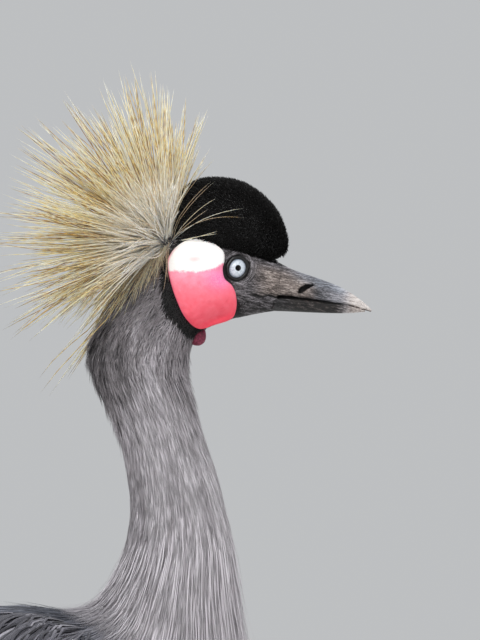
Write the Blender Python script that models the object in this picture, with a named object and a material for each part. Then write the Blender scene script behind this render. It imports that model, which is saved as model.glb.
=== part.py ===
"""A black crowned crane standing on both feet, as a still life-size model.

The outline tables are in millimetres in the bird's own side view, measured from the centre
of the eye: x runs towards the bill and z runs up. All other lengths are in metres.
The finished model stands on the floor, with the bill towards +X and its right side at -Y.
"""

import math
import random

import bmesh
import bpy
import numpy as np
from mathutils import Matrix, Vector
from mathutils.bvhtree import BVHTree

MM = 0.001
GAP = 0.0003
HALF_GAP = GAP / 2
EYE_HEIGHT = 0.800
RIGHT, LEFT = -1, 1
SIDE_NAMES = {RIGHT: "right", LEFT: "left"}

# Each station of an outline is: dorsal x, dorsal z, ventral x, ventral z, half width.
BODY_STATIONS = (
    (26.0, 3.0, 22.0, -25.5, 9.5),
    (16.0, 8.5, 13.0, -27.0, 13.5),
    (6.0, 15.0, 4.0, -29.0, 17.5),
    (-6.0, 22.0, -6.0, -31.0, 20.5),
    (-20.0, 26.0, -15.0, -34.0, 22.0),
    (-36.0, 24.0, -21.0, -38.0, 22.5),
    (-52.0, 12.0, -25.0, -42.0, 22.5),
    (-66.0, -6.0, -27.0, -46.0, 22.5),
    (-80.0, -26.0, -28.5, -50.0, 23.0),
    (-88.0, -45.0, -29.5, -56.0, 24.0),
    (-88.5, -60.0, -30.5, -65.0, 24.5),
    (-83.0, -75.0, -28.0, -74.0, 24.0),
    (-75.0, -92.0, -23.0, -91.0, 23.0),
    (-69.5, -108.0, -17.7, -108.0, 22.5),
    (-65.7, -127.0, -11.7, -126.0, 23.0),
    (-64.0, -146.0, -7.0, -146.0, 25.0),
    (-67.0, -166.0, -2.0, -166.0, 28.5),
    (-73.5, -184.0, -0.5, -188.0, 34.0),
    (-82.0, -198.0, 2.0, -215.0, 43.0),
    (-92.0, -206.0, 6.0, -245.0, 55.0),
    (-104.0, -205.0, 4.0, -285.0, 68.0),
    (-118.0, -202.0, -12.0, -330.0, 79.0),
    (-140.0, -201.5, -52.0, -368.0, 86.0),
    (-168.0, -204.0, -110.0, -388.0, 89.0),
    (-200.0, -211.0, -175.0, -391.0, 87.0),
    (-240.0, -224.0, -235.0, -376.0, 78.0),
    (-280.0, -240.0, -285.0, -348.0, 63.0),
    (-315.0, -256.0, -322.0, -320.0, 44.0),
    (-345.0, -272.0, -350.0, -302.0, 26.0),
)
HEAD_END, NECK_MIDDLE, NECK_END, TAIL_BASE = 8, 13, 18, 28

# The folded wings lie on this form, which follows the torso and goes on past the tail.
WING_BED_STATIONS = (
    (-100.0, -204.0, 2.0, -275.0, 66.5),
    (-118.0, -200.5, -10.0, -330.0, 80.5),
    (-140.0, -200.0, -50.0, -370.0, 87.5),
    (-168.0, -202.5, -110.0, -390.0, 90.5),
    (-200.0, -209.5, -175.0, -392.0, 88.5),
    (-240.0, -222.5, -235.0, -378.0, 79.5),
    (-282.0, -239.0, -290.0, -358.0, 68.0),
    (-325.0, -258.0, -342.0, -362.0, 58.0),
    (-370.0, -284.0, -394.0, -386.0, 49.0),
    (-415.0, -316.0, -442.0, -412.0, 41.0),
    (-458.0, -354.0, -484.0, -434.0, 33.0),
    (-494.0, -396.0, -514.0, -452.0, 25.0),
)

CAP_STATIONS = (
    (28.9, 15.5, 28.5, 10.5, 2.5),
    (28.0, 23.0, 26.5, 5.0, 7.0),
    (24.5, 33.0, 23.0, 2.5, 11.5),
    (19.0, 41.0, 18.0, 1.5, 15.5),
    (11.0, 48.3, 11.0, 1.5, 19.3),
    (1.0, 53.8, 1.0, 1.5, 22.0),
    (-11.0, 55.8, -11.0, 2.0, 23.6),
    (-22.0, 55.0, -20.0, 3.0, 23.0),
    (-30.5, 50.0, -28.0, 4.0, 20.0),
    (-35.5, 41.0, -32.0, 6.0, 14.5),
    (-39.0, 31.0, -35.0, 9.0, 8.0),
)

UPPER_BILL_STATIONS = (
    (25.9, 2.7, 23.1, -17.1, 9.2),
    (34.7, -1.5, 32.0, -17.3, 7.9),
    (46.7, -5.6, 45.0, -18.9, 6.1),
    (57.7, -9.7, 57.0, -20.5, 4.6),
    (66.9, -14.3, 66.5, -21.7, 3.3),
    (74.0, -19.0, 73.5, -23.8, 2.1),
    (78.5, -22.8, 78.0, -25.0, 1.1),
    (80.5, -24.9, 80.2, -25.7, 0.45),
)
LOWER_BILL_STATIONS = (
    (23.1, -17.4, 22.0, -25.5, 8.9),
    (32.0, -17.6, 31.0, -25.8, 7.4),
    (45.0, -19.2, 44.0, -26.4, 5.5),
    (57.0, -20.8, 56.5, -26.8, 4.0),
    (66.5, -22.0, 66.0, -26.8, 2.7),
    (73.0, -24.0, 72.7, -26.3, 1.5),
    (76.5, -25.2, 76.4, -26.0, 0.6),
)

# Outline of the bare cheek patch in side view, x and z.
CHEEK_OUTLINE = (
    (-24.0, 18.7), (-32.5, 15.6), (-38.7, 10.4), (-41.7, 3.5), (-40.3, -6.5), (-36.4, -18.8),
    (-31.0, -29.8), (-23.2, -36.2), (-13.4, -33.8), (-3.6, -30.2), (-0.7, -24.0), (-0.8, -16.6),
    (-3.2, -10.4), (-7.6, -6.2), (-8.9, -0.5), (-8.8, 4.5), (-12.4, 12.4), (-17.6, 17.2),
)
CHEEK_CENTRE = (-22.0, -9.0)
CHEEK_PUFF = 0.0032
CHEEK_LEAST_Y = 0.0115

EYE_RADIUS = 0.0080
EYE_DEPTH = 0.0062
EYE_LOOK = Vector((0.24, 1.0, 0.08)).normalized()
EYE_SURFACE_Y = 0.0186
LID_RADIUS = 0.0068
LID_THICKNESS = 0.0013

CREST_CENTRE = (-43.5, 16.0)
CREST_BOSS_RADIUS = 0.0100
CREST_AXIS_DEGREES = 151.0
CREST_HALF_SPREAD_DEGREES = 78.0
CREST_LENGTH = 0.112
CREST_COUNT = 94
BRISTLE_RADIUS = 0.00062

FOOT_X = -160.0
LEG_LANE = 0.045
FOOT_TOP = 0.015
THIGH_END = 0.327
ANKLE_HEIGHT = 0.224
# Each toe is: angle out from straight ahead, length of the toe, length of its claw.
TOES = {
    "middle": (5.0, 0.082, 0.015),
    "inner": (-27.0, 0.062, 0.014),
    "outer": (38.0, 0.066, 0.013),
    "hind": (188.0, 0.040, 0.014),
}


def spot(x, z, y=0.0):
    """A point of the side view, in millimetres from the eye, as a place in the model."""
    return Vector((x * MM, y, EYE_HEIGHT + z * MM))


class Loft:
    """A rounded form through stations. A place on it is t, which counts stations, and turn, the
    angle round the section from the dorsal line (0) over the left side (+) or the right (-)."""

    def __init__(self, stations, waist=0.5, squareness=2.0, lane=0.0):
        self.rows = np.array(stations, float) * MM
        self.waist = waist
        self.squareness = squareness
        self.lane = lane

    def section(self, t):
        """Dorsal x, dorsal z, ventral x, ventral z and half width at place t."""
        last = len(self.rows) - 1
        i = int(min(max(math.floor(t), 0), last - 1))
        f = t - i
        a, b, c, d = (self.rows[min(max(i + k, 0), last)] for k in (-1, 0, 1, 2))
        square = 2 * a - 5 * b + 4 * c - d
        cube = 3 * b - a - 3 * c + d
        return 0.5 * (2 * b + (c - a) * f + square * f**2 + cube * f**3)

    def point(self, t, turn, lift=0.0):
        dorsal_x, dorsal_z, ventral_x, ventral_z, half_width = self.section(t)
        up = Vector((dorsal_x - ventral_x, 0, dorsal_z - ventral_z))
        height = up.length
        cosine, sine = math.cos(turn), math.sin(turn)
        power = self.squareness
        round_off = (abs(cosine) ** power + abs(sine) ** power) ** (-1 / power)
        reach = height * (1 - self.waist if cosine > 0 else self.waist) + lift
        along = height * self.waist + cosine * round_off * reach
        across = self.lane + sine * round_off * (half_width + lift)
        return Vector((ventral_x, across, EYE_HEIGHT + ventral_z)) + up.normalized() * along

    def frame(self, t, turn):
        """Change of place with t and with turn, and the outward normal."""
        step = 0.01
        with_t = (self.point(t + step, turn) - self.point(t - step, turn)) / (2 * step)
        with_turn = (self.point(t, turn + step) - self.point(t, turn - step)) / (2 * step)
        return with_t, with_turn, with_turn.cross(with_t).normalized()

    def ring(self, t, sides, lift=0.0, slide=0.0):
        """The section at t as points. slide moves it along the body, towards the tail."""
        dorsal_x, dorsal_z, ventral_x, ventral_z, _ = self.section(t)
        onward = Vector((dorsal_z - ventral_z, 0, ventral_x - dorsal_x)).normalized()
        before, after = (self.point(t + k, 0) + self.point(t + k, math.pi) for k in (-0.05, 0.05))
        if onward.dot(after - before) < 0:
            onward = -onward
        return [self.point(t, math.tau * k / sides, lift) + onward * slide for k in range(sides)]


BODY = Loft(BODY_STATIONS, squareness=2.12)
WING_BED = Loft(WING_BED_STATIONS, squareness=2.12)
CAP = Loft(CAP_STATIONS, squareness=2.2)


def mesh_object(name, points, faces):
    """A closed mesh in triangles, with its faces turned outwards."""
    mesh = bpy.data.meshes.new(name)
    mesh.from_pydata([tuple(p) for p in points], [], faces)
    work = bmesh.new()
    work.from_mesh(mesh)
    bmesh.ops.triangulate(work, faces=[f for f in work.faces if len(f.verts) > 3])
    bmesh.ops.recalc_face_normals(work, faces=work.faces)
    if work.calc_volume(signed=True) < 0:
        bmesh.ops.reverse_faces(work, faces=work.faces)
    work.to_mesh(mesh)
    work.free()
    made = bpy.data.objects.new(name, mesh)
    bpy.context.scene.collection.objects.link(made)
    return made


def skin_rings(name, rings):
    """A closed solid over a row of rings with equal numbers of points."""
    sides = len(rings[0])
    points = [p for ring in rings for p in ring]
    faces = [tuple(range(sides)), tuple(range(len(points) - sides, len(points)))]
    for start in range(0, len(points) - sides, sides):
        for k in range(sides):
            a, b = start + k, start + (k + 1) % sides
            faces += [(a, b, b + sides), (a, b + sides, a + sides)]
    return mesh_object(name, points, faces)


def loft_object(name, loft, first, last, count, sides, lift=0.0, ends=(0.0, 0.0)):
    """The stretch of a loft from first to last. ends pulls each end face back by that much."""
    places = np.linspace(first, last, count)
    slides = [ends[0]] + [0.0] * (count - 2) + [-ends[1]]
    return skin_rings(name, [loft.ring(t, sides, lift, s) for t, s in zip(places, slides)])


def apply_modifiers(obj):
    graph = bpy.context.evaluated_depsgraph_get()
    mesh = bpy.data.meshes.new_from_object(obj.evaluated_get(graph))
    obj.modifiers.clear()
    obj.data = mesh


def keep_largest_surface(obj):
    """Drops loose scraps and sealed hollows, and leaves the node's main closed surface."""
    work = bmesh.new()
    work.from_mesh(obj.data)
    bmesh.ops.triangulate(work, faces=work.faces)
    unseen = set(work.faces)
    surfaces = []
    while unseen:
        stack = [unseen.pop()]
        found = []
        while stack:
            face = stack.pop()
            found.append(face)
            near = {f for e in face.edges for f in e.link_faces} & unseen
            unseen -= near
            stack += near
        surfaces.append(found)
    surfaces.sort(key=lambda faces: sum(f.calc_area() for f in faces))
    for faces in surfaces[:-1]:
        bmesh.ops.delete(work, geom=faces, context="FACES")
    work.to_mesh(obj.data)
    work.free()


def join(name, pieces):
    """One Boolean union of closed pieces, as one closed node."""
    body, *others = pieces
    if others:
        helpers = bpy.data.collections.new(name + "_pieces")
        bpy.context.scene.collection.children.link(helpers)
        for other in others:
            helpers.objects.link(other)
        modifier = body.modifiers.new("join", "BOOLEAN")
        modifier.operation = "UNION"
        modifier.operand_type = "COLLECTION"
        modifier.collection = helpers
        modifier.solver = "MANIFOLD"
        apply_modifiers(body)
        for other in others:
            bpy.data.objects.remove(other)
        bpy.data.collections.remove(helpers)
    keep_largest_surface(body)
    body.name = name
    return body


def cut(obj, *cutters):
    """Takes the cutters away from obj, removes them and keeps the main surface."""
    for cutter in cutters:
        modifier = obj.modifiers.new("cut", "BOOLEAN")
        modifier.operation = "DIFFERENCE"
        modifier.object = cutter
        modifier.solver = "MANIFOLD"
    apply_modifiers(obj)
    for cutter in cutters:
        bpy.data.objects.remove(cutter)
    keep_largest_surface(obj)
    return obj


def flatten_below(obj, height):
    """Cuts obj off at a level and closes it with a flat face."""
    work = bmesh.new()
    work.from_mesh(obj.data)
    everything = [*work.verts, *work.edges, *work.faces]
    bmesh.ops.bisect_plane(
        work, geom=everything, plane_co=(0, 0, height), plane_no=(0, 0, -1), clear_outer=True
    )
    rim = [e for e in work.edges if e.is_boundary]
    filled = bmesh.ops.contextual_create(work, geom=rim)
    bmesh.ops.triangulate(work, faces=filled["faces"])
    bmesh.ops.recalc_face_normals(work, faces=work.faces)
    work.to_mesh(obj.data)
    work.free()


def mirrored(obj, name):
    """A copy of obj on the other side of the bird."""
    work = bmesh.new()
    work.from_mesh(obj.data)
    bmesh.ops.scale(work, vec=(1, -1, 1), verts=work.verts)
    bmesh.ops.reverse_faces(work, faces=work.faces)
    mesh = bpy.data.meshes.new(name)
    work.to_mesh(mesh)
    work.free()
    made = bpy.data.objects.new(name, mesh)
    bpy.context.scene.collection.objects.link(made)
    return made


def ball(name, centre, radius, around=18, down=10, stretch=(1, 1, 1), turn=None):
    """An ellipsoid. stretch scales it along X, Y and Z before turn, a rotation matrix, is applied."""
    mesh = bpy.data.meshes.new(name)
    work = bmesh.new()
    bmesh.ops.create_uvsphere(work, u_segments=around, v_segments=down, radius=radius)
    bmesh.ops.scale(work, vec=stretch, verts=work.verts)
    if turn is not None:
        bmesh.ops.rotate(work, matrix=turn, verts=work.verts)
    bmesh.ops.translate(work, vec=centre, verts=work.verts)
    bmesh.ops.triangulate(work, faces=work.faces)
    work.to_mesh(mesh)
    work.free()
    made = bpy.data.objects.new(name, mesh)
    bpy.context.scene.collection.objects.link(made)
    return made


def strip(name, rows, normals, thickness):
    """A thin closed vane: each row is a line of points across it, and both faces match."""
    columns = len(rows[0])
    points = []
    for row, row_normals, thick in zip(rows, normals, thickness):
        points += [p + n * (thick / 2) for p, n in zip(row, row_normals)]
        points += [p - n * (thick / 2) for p, n in zip(row, row_normals)]
    faces = []
    for i in range(len(rows) - 1):
        top, under = i * 2 * columns, i * 2 * columns + columns
        onward = 2 * columns
        for k in range(columns - 1):
            for start in (top, under):
                a, b = start + k, start + k + 1
                faces += [(a, b, b + onward), (a, b + onward, a + onward)]
        for k in (0, columns - 1):
            a, b = top + k, under + k
            faces += [(a, b, b + onward), (a, b + onward, a + onward)]
    for i in (0, len(rows) - 1):
        top, under = i * 2 * columns, i * 2 * columns + columns
        for k in range(columns - 1):
            faces += [(top + k, top + k + 1, under + k + 1), (top + k, under + k + 1, under + k)]
    return mesh_object(name, points, faces)


def lance_width(s):
    """Share of the full width along a narrow pointed feather, s from root to tip."""
    return 0.45 + 1.1 * s if s < 0.5 else 1 - 0.9 * ((s - 0.5) / 0.5) ** 1.6


def blade_width(s):
    """Share of the full width along a broad feather with a narrow root and a round tip."""
    if s < 0.3:
        return 0.35 + 0.65 * math.sin(math.pi * s / 0.6)
    return 1.0 if s < 0.75 else math.sqrt(max(1 - ((s - 0.75) / 0.262) ** 2, 0.06))


def feather(name, bed, start, end, lifts, half_width, tilt=0.0, bow=0.0, steps=6, columns=2,
            profile=lance_width, thick=0.0008):
    """A vane that lies along a loft from start to end, each (t, turn in degrees), at heights that run
    smoothly through lifts. tilt raises its one edge and lowers the other, and bow bends its line
    sideways by that many degrees of turn."""
    rows, normals, thickness = [], [], []
    for i in range(steps):
        s = i / (steps - 1)
        t = start[0] + (end[0] - start[0]) * s
        turn = math.radians(start[1] + (end[1] - start[1]) * s + bow * math.sin(math.pi * s))
        drift = math.radians(end[1] - start[1] + bow * math.pi * math.cos(math.pi * s))
        with_t, with_turn, normal = bed.frame(t, turn)
        heading = (with_t * (end[0] - start[0]) + with_turn * drift).normalized()
        side = normal.cross(heading)
        lift = float(np.interp(s, np.linspace(0, 1, len(lifts)), lifts))
        width = half_width * profile(s)
        row, row_normals = [], []
        for k in np.linspace(-1, 1, columns):
            t_here = t + side.dot(with_t) / with_t.dot(with_t) * width * k
            turn_here = turn + side.dot(with_turn) / with_turn.dot(with_turn) * width * k
            row.append(bed.point(t_here, turn_here, lift + tilt * k * profile(s)))
            row_normals.append(bed.frame(t_here, turn_here)[2])
        rows.append(row)
        normals.append(row_normals)
        thickness.append(thick * (0.6 if i == steps - 1 else 1.0))
    return strip(name, rows, normals, thickness)


def panel(name, bed, t_range, turn_range, inner, outer, counts):
    """A pad on a loft between two places and two angles, from height inner to height outer, with
    edges that come down to a thin rim."""
    rows_count, columns = counts
    points = []
    for height in ("outer", "inner"):
        for i in range(rows_count + 1):
            u = i / rows_count
            t = t_range[0] + (t_range[1] - t_range[0]) * u
            for k in range(columns + 1):
                v = k / columns
                low = math.radians(turn_range[0](u))
                high = math.radians(turn_range[1](u))
                turn = low + (high - low) * v
                inside = 0 < u < 1 and 0 < v < 1
                rise = (math.sin(math.pi * v) * math.sin(math.pi * u)) ** 0.45 if inside else 0
                level = inner + (outer - inner) * (0.12 + 0.88 * rise) if height == "outer" else inner
                points.append(bed.point(t, turn, level))
    row = columns + 1
    half = row * (rows_count + 1)
    faces = []
    for start in (0, half):
        for i in range(rows_count):
            for k in range(columns):
                a = start + i * row + k
                faces += [(a, a + 1, a + row + 1), (a, a + row + 1, a + row)]
    for i in range(rows_count):
        for k in (0, columns):
            a = i * row + k
            faces += [(a, a + row, a + row + half), (a, a + row + half, a + half)]
    for k in range(columns):
        for i in (0, rows_count):
            a = i * row + k
            faces += [(a, a + 1, a + 1 + half), (a, a + 1 + half, a + half)]
    return mesh_object(name, points, faces)


def paint(obj, material):
    obj.data.materials.clear()
    obj.data.materials.append(material)
    obj.data.shade_smooth()
    obj.data.set_sharp_from_angle(angle=math.radians(40))
    return obj


def make_material(name, colour, roughness):
    material = bpy.data.materials.new(name)
    material.use_nodes = True
    shader = material.node_tree.nodes["Principled BSDF"]
    shader.inputs["Base Color"].default_value = (*colour, 1)
    shader.inputs["Roughness"].default_value = roughness
    shader.inputs["Metallic"].default_value = 0.0
    return material


def eye_centre(side):
    look = Vector((EYE_LOOK.x, EYE_LOOK.y * side, EYE_LOOK.z))
    return spot(0, 0, EYE_SURFACE_Y * side) - look * EYE_DEPTH


def eye_turn(side):
    return Vector((EYE_LOOK.x, EYE_LOOK.y * side, EYE_LOOK.z)).to_track_quat("Z", "Y").to_matrix()


def lid_ring(side, extra=0.0):
    """The swollen rim of skin round one eye."""
    look = Vector((EYE_LOOK.x, EYE_LOOK.y * side, EYE_LOOK.z))
    bpy.ops.mesh.primitive_torus_add(
        major_radius=LID_RADIUS, minor_radius=LID_THICKNESS + extra, major_segments=12, minor_segments=5
    )
    ring = bpy.context.object
    turn = look.to_track_quat("Z", "Y").to_matrix().to_4x4()
    ring.data.transform(Matrix.Translation(spot(0, 0, EYE_SURFACE_Y * side)) @ turn)
    ring.matrix_world = Matrix.Identity(4)
    return ring


def mouth_groove(side):
    """A thin wedge along the corner of the mouth, where the face skin folds behind the bill."""
    length, depth, height = 0.017, 0.004, 0.0008
    bpy.ops.mesh.primitive_cube_add(size=1)
    groove = bpy.context.object
    groove.data.transform(Matrix.Diagonal((length, depth, height, 1)))
    turn = Matrix.Rotation(math.radians(-20) * side, 4, "Z")
    groove.data.transform(Matrix.Translation(spot(16.2, -17.0, 0.0148 * side)) @ turn)
    return groove


def make_head():
    head = loft_object("head", BODY, 0, HEAD_END, 13, 18, ends=(0, HALF_GAP))
    join("head", [head, lid_ring(RIGHT), lid_ring(LEFT)])
    sockets = [
        ball("socket", eye_centre(side), EYE_RADIUS + GAP, 12, 7, turn=eye_turn(side))
        for side in (RIGHT, LEFT)
    ]
    grooves = [mouth_groove(side) for side in (RIGHT, LEFT)]
    return cut(head, *sockets, *grooves)


def head_cutter(last=10):
    """The head and upper neck, swollen by the gap that its neighbours keep."""
    return loft_object("head_cutter", BODY, 0, last, round(1.5 * last) + 1, 18, lift=2 * GAP)


def make_bill():
    upper = Loft(UPPER_BILL_STATIONS, waist=0.16, squareness=2.1)
    lower = Loft(LOWER_BILL_STATIONS, waist=0.86, squareness=2.1)
    bill_upper = loft_object("bill_upper", upper, 0, 7, 9, 14, ends=(GAP, 0))
    bill_lower = loft_object("bill_lower", lower, 0, 6, 7, 12, ends=(GAP, 0))
    slope = Matrix.Rotation(math.radians(-26), 3, "Y")
    nostrils = [
        ball("nostril", spot(42.0, -11.6, 0.0058 * side), 0.001, 8, 6, (4.4, 2.2, 1.5), slope)
        for side in (RIGHT, LEFT)
    ]
    cut(bill_upper, *nostrils)
    return bill_upper, bill_lower


def make_cap():
    cap = loft_object("cap", CAP, 0, 10, 10, 14)
    return cut(cap, head_cutter(8), lid_ring(RIGHT, GAP), lid_ring(LEFT, GAP), *cheek_cutters())


def make_eye(side):
    name = "eye_" + SIDE_NAMES[side]
    return ball(name, eye_centre(side), EYE_RADIUS, 12, 7, turn=eye_turn(side))


def side_surface(x, z, tree):
    """Distance of the head's left surface from the middle plane at a place in side view."""
    hit = tree.ray_cast(spot(x, z, 0.06), Vector((0, -1, 0)))[0]
    return max(hit.y if hit else 0.0, CHEEK_LEAST_Y)


def cheek_form(name, grow=0.0):
    """The puffed patch of bare skin: rings of its outline, smaller towards the middle, on both faces.
    grow swells it on every side, for a cutter."""
    form = loft_object("form", BODY, 0, 10, 16, 18)
    tree = BVHTree.FromObject(form, bpy.context.evaluated_depsgraph_get())
    wider = 1 + grow / (25 * MM)
    scales = [wider * scale for scale in (1.0, 0.9, 0.68, 0.36)]
    count = len(CHEEK_OUTLINE)
    points = []
    for outer in (True, False):
        for scale in scales:
            for x, z in CHEEK_OUTLINE:
                x_here = CHEEK_CENTRE[0] + (x - CHEEK_CENTRE[0]) * scale
                z_here = CHEEK_CENTRE[1] + (z - CHEEK_CENTRE[1]) * scale
                share = min(scale / wider, 1.0)
                rise = 0.0006 + CHEEK_PUFF * (1 - share**4) ** 0.6 + grow if outer else -4 * grow
                y = side_surface(x_here, z_here, tree) + GAP + rise
                points.append(spot(x_here, z_here, y))
        rise = CHEEK_PUFF + 0.0006 + grow if outer else -4 * grow
        middle = side_surface(*CHEEK_CENTRE, tree) + GAP + rise
        points.append(spot(*CHEEK_CENTRE, middle))
    bpy.data.objects.remove(form)
    half = len(scales) * count + 1
    faces = []
    for start in (0, half):
        for ring in range(len(scales) - 1):
            for k in range(count):
                a = start + ring * count + k
                b = start + ring * count + (k + 1) % count
                faces += [(a, b, b + count), (a, b + count, a + count)]
        last = start + (len(scales) - 1) * count
        faces += [(last + k, last + (k + 1) % count, start + half - 1) for k in range(count)]
    for k in range(count):
        a, b = k, (k + 1) % count
        faces += [(a, b, b + half), (a, b + half, a + half)]
    return mesh_object(name, points, faces)


def cheek_cutters():
    left = cheek_form("cheek_cutter", 1.5 * GAP)
    return left, mirrored(left, "cheek_cutter_right")


def make_left_cheek():
    return cut(cheek_form("cheek_left"), head_cutter(), lid_ring(LEFT, GAP))


def make_wattle():
    """The small folded throat wattle: two lobes with a crease between them."""
    lobes = [
        ball("lobe", spot(-22.0, -41.0, 0.0022 * side), 0.001, 9, 6, (5.2, 3.6, 5.6))
        for side in (RIGHT, LEFT)
    ]
    tip = ball("lobe", spot(-24.0, -43.5), 0.001, 8, 6, (3.2, 3.0, 3.4))
    wattle = join("wattle", [*lobes, tip])
    return cut(wattle, head_cutter(10))


def bristle(name, start, heading, length, bend, sides=3, steps=3):
    """A long tapered bristle that bends a little. Its root is sunk in the boss."""
    across = heading.orthogonal().normalized()
    beside = heading.cross(across)
    rings = []
    for i in range(steps):
        s = i / (steps - 1)
        centre = start + heading * (length * s) + bend * (length * s * s)
        radius = BRISTLE_RADIUS * (1.15 - 0.75 * s**2)
        rings.append([
            centre + (across * math.cos(a) + beside * math.sin(a)) * radius
            for a in (math.tau * k / sides for k in range(sides))
        ])
    return skin_rings(name, rings)


def crest_directions():
    """Unit vectors spread evenly over the cone that the crest fills, each with its share from the axis."""
    axis = Vector((
        math.cos(math.radians(CREST_AXIS_DEGREES)), 0, math.sin(math.radians(CREST_AXIS_DEGREES))
    ))
    turn = axis.to_track_quat("Z", "Y")
    least = math.cos(math.radians(CREST_HALF_SPREAD_DEGREES))
    golden_turn = math.pi * (3 - math.sqrt(5))
    for k in range(CREST_COUNT):
        along = 1 - (1 - least) * (k + 0.5) / CREST_COUNT
        out = math.sqrt(1 - along * along)
        spin = golden_turn * k
        yield turn @ Vector((out * math.cos(spin), out * math.sin(spin), along))


def crosses(tree, start, end):
    """Whether the way from start to end meets a surface or lies inside it."""
    way = end - start
    if tree.ray_cast(start, way.normalized(), way.length)[0]:
        return True
    place, sideways, met = start.copy(), Vector((0.31, 0.83, 0.46)).normalized(), 0
    while (hit := tree.ray_cast(place, sideways)[0]) is not None:
        met += 1
        place = hit + sideways * 1e-5
    return met % 2 == 1


def make_crest():
    """The crown of stiff bristles, which spread from a small boss on the hind crown. A bristle that
    would touch the head, cap, cheek or neck is turned towards the crown's axis until it is clear."""
    draw = random.Random(11)
    centre = spot(*CREST_CENTRE)
    axis = Vector((
        math.cos(math.radians(CREST_AXIS_DEGREES)), 0, math.sin(math.radians(CREST_AXIS_DEGREES))
    ))
    cap_cutter = loft_object("cap_cutter", CAP, 0, 10, 10, 14, lift=4 * GAP)
    cutters = [head_cutter(12), cap_cutter, *cheek_cutters()]
    bpy.context.view_layer.update()
    graph = bpy.context.evaluated_depsgraph_get()
    trees = [BVHTree.FromObject(cutter, graph) for cutter in cutters]
    pieces = [ball("boss", centre, CREST_BOSS_RADIUS, 12, 8)]
    sunk = CREST_BOSS_RADIUS * 0.72
    for heading in crest_directions():
        jitter = Vector((draw.uniform(-1, 1), draw.uniform(-1, 1), draw.uniform(-1, 1))) * 0.05
        heading = (heading + jitter).normalized()
        length = CREST_LENGTH * (1 - 0.18 * abs(heading.y)) * draw.uniform(0.82, 1.0) - sunk
        bend = Vector((draw.uniform(-1, 1), draw.uniform(-1, 1), draw.uniform(-1, 1) - 0.6)) * 0.05
        for _ in range(16):
            root = centre + heading.orthogonal() * 0.001
            places = [
                root + heading * (sunk + length * s) + bend * (length * s * s)
                for s in (0.04, 0.15, 0.3, 0.5, 0.75, 1.0)
            ]
            if not any(crosses(tree, a, b) for tree in trees for a, b in zip(places, places[1:])):
                break
            heading = (heading + axis * 0.05).normalized()
        pieces.append(bristle("bristle", centre + heading * sunk, heading, length, bend))
    crest = join("crest", pieces)
    return cut(crest, *cutters)


def torso_cutter():
    """The plain torso, swollen by the gap that its neighbours keep."""
    return loft_object("torso_cutter", BODY, NECK_END, TAIL_BASE, 14, 20, GAP, ends=(-HALF_GAP, 0))


def make_neck():
    """The upper neck, and the lower neck with its long hanging plumes."""
    upper = loft_object("neck_upper", BODY, HEAD_END, NECK_MIDDLE, 8, 18, ends=(HALF_GAP, HALF_GAP))
    lower = loft_object("neck_lower", BODY, NECK_MIDDLE, NECK_END, 8, 18, ends=(HALF_GAP, HALF_GAP))
    draw = random.Random(5)
    pieces = [lower]
    for row, (start, reach, count) in enumerate(((13.8, 2.6, 7), (15.3, 2.7, 8), (16.8, 2.5, 9))):
        for k in range(count):
            turn = 360 * (k + 0.5 * (row % 2)) / count + draw.uniform(-3, 3)
            facing_back = math.cos(math.radians(turn)) > 0.5
            length = reach * (0.5 if facing_back else 1.0) * draw.uniform(0.9, 1.05)
            pieces.append(feather(
                "plume", BODY, (start, turn), (start + length, turn + draw.uniform(-4, 4)),
                (-0.0020, 0.0024, 0.0044), 0.0062, steps=3, thick=0.0010,
            ))
    join("neck_lower", pieces)
    cut(lower, torso_cutter())
    return upper, lower


def make_torso():
    """The body, with hanging breast plumes and narrow plumes along the back."""
    torso = loft_object("torso", BODY, NECK_END, TAIL_BASE, 14, 20, ends=(HALF_GAP, 0))
    pieces = [torso]
    draw = random.Random(7)
    for start, count, spread in ((19.9, 7, 44), (20.9, 5, 32)):
        for k in range(count):
            share = (k + 0.5) / count * 2 - 1
            turn = 180 + share * spread + draw.uniform(-2, 2)
            pieces.append(feather(
                "breast", BODY, (start, turn), (start + 1.8, 180 + share * spread * 1.05),
                (-0.0024, 0.0018, 0.0028, 0.0034), 0.0068, steps=4, thick=0.0010,
            ))
    for row, start in enumerate((20.4, 21.9, 23.4, 24.9)):
        count = 4 - row % 2
        for k in range(count):
            turn = (k - (count - 1) / 2) * (7.2 - row)
            pieces.append(feather(
                "mantle", BODY, (start, turn * 0.9), (start + 2.3, turn * 1.1),
                (-0.0022, 0.0022, 0.0034), 0.0046, steps=3, thick=0.0010,
            ))
    return join("torso", pieces)


def make_right_coverts():
    """The white panel of the folded wing, with three tiers of covert feathers."""
    top_edge, low_edge = (lambda u: -33 - 2 * u), (lambda u: -118 + 22 * u)
    pieces = [panel("coverts", WING_BED, (0.7, 5.4), (top_edge, low_edge), -0.0004, 0.0034, (5, 5))]
    for row, (start, reach, count) in enumerate(((1.1, 1.9, 5), (2.4, 2.0, 5), (3.7, 2.1, 5))):
        for k in range(count):
            share = (k + 0.5 + 0.2 * (row % 2)) / (count + 0.1)
            u = (start - 0.7) / 4.7
            turn = top_edge(u) - 2 + (low_edge(u) - top_edge(u) + 8) * share
            pieces.append(feather(
                "covert", WING_BED, (start, turn), (start + reach, turn * 0.99 + 1),
                (0.0009, 0.0038, 0.0054, 0.0066), 0.0122, tilt=0.0013,
                steps=5, profile=blade_width, thick=0.0007,
            ))
    return cut(join("wing_coverts_right", pieces), torso_cutter())


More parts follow.
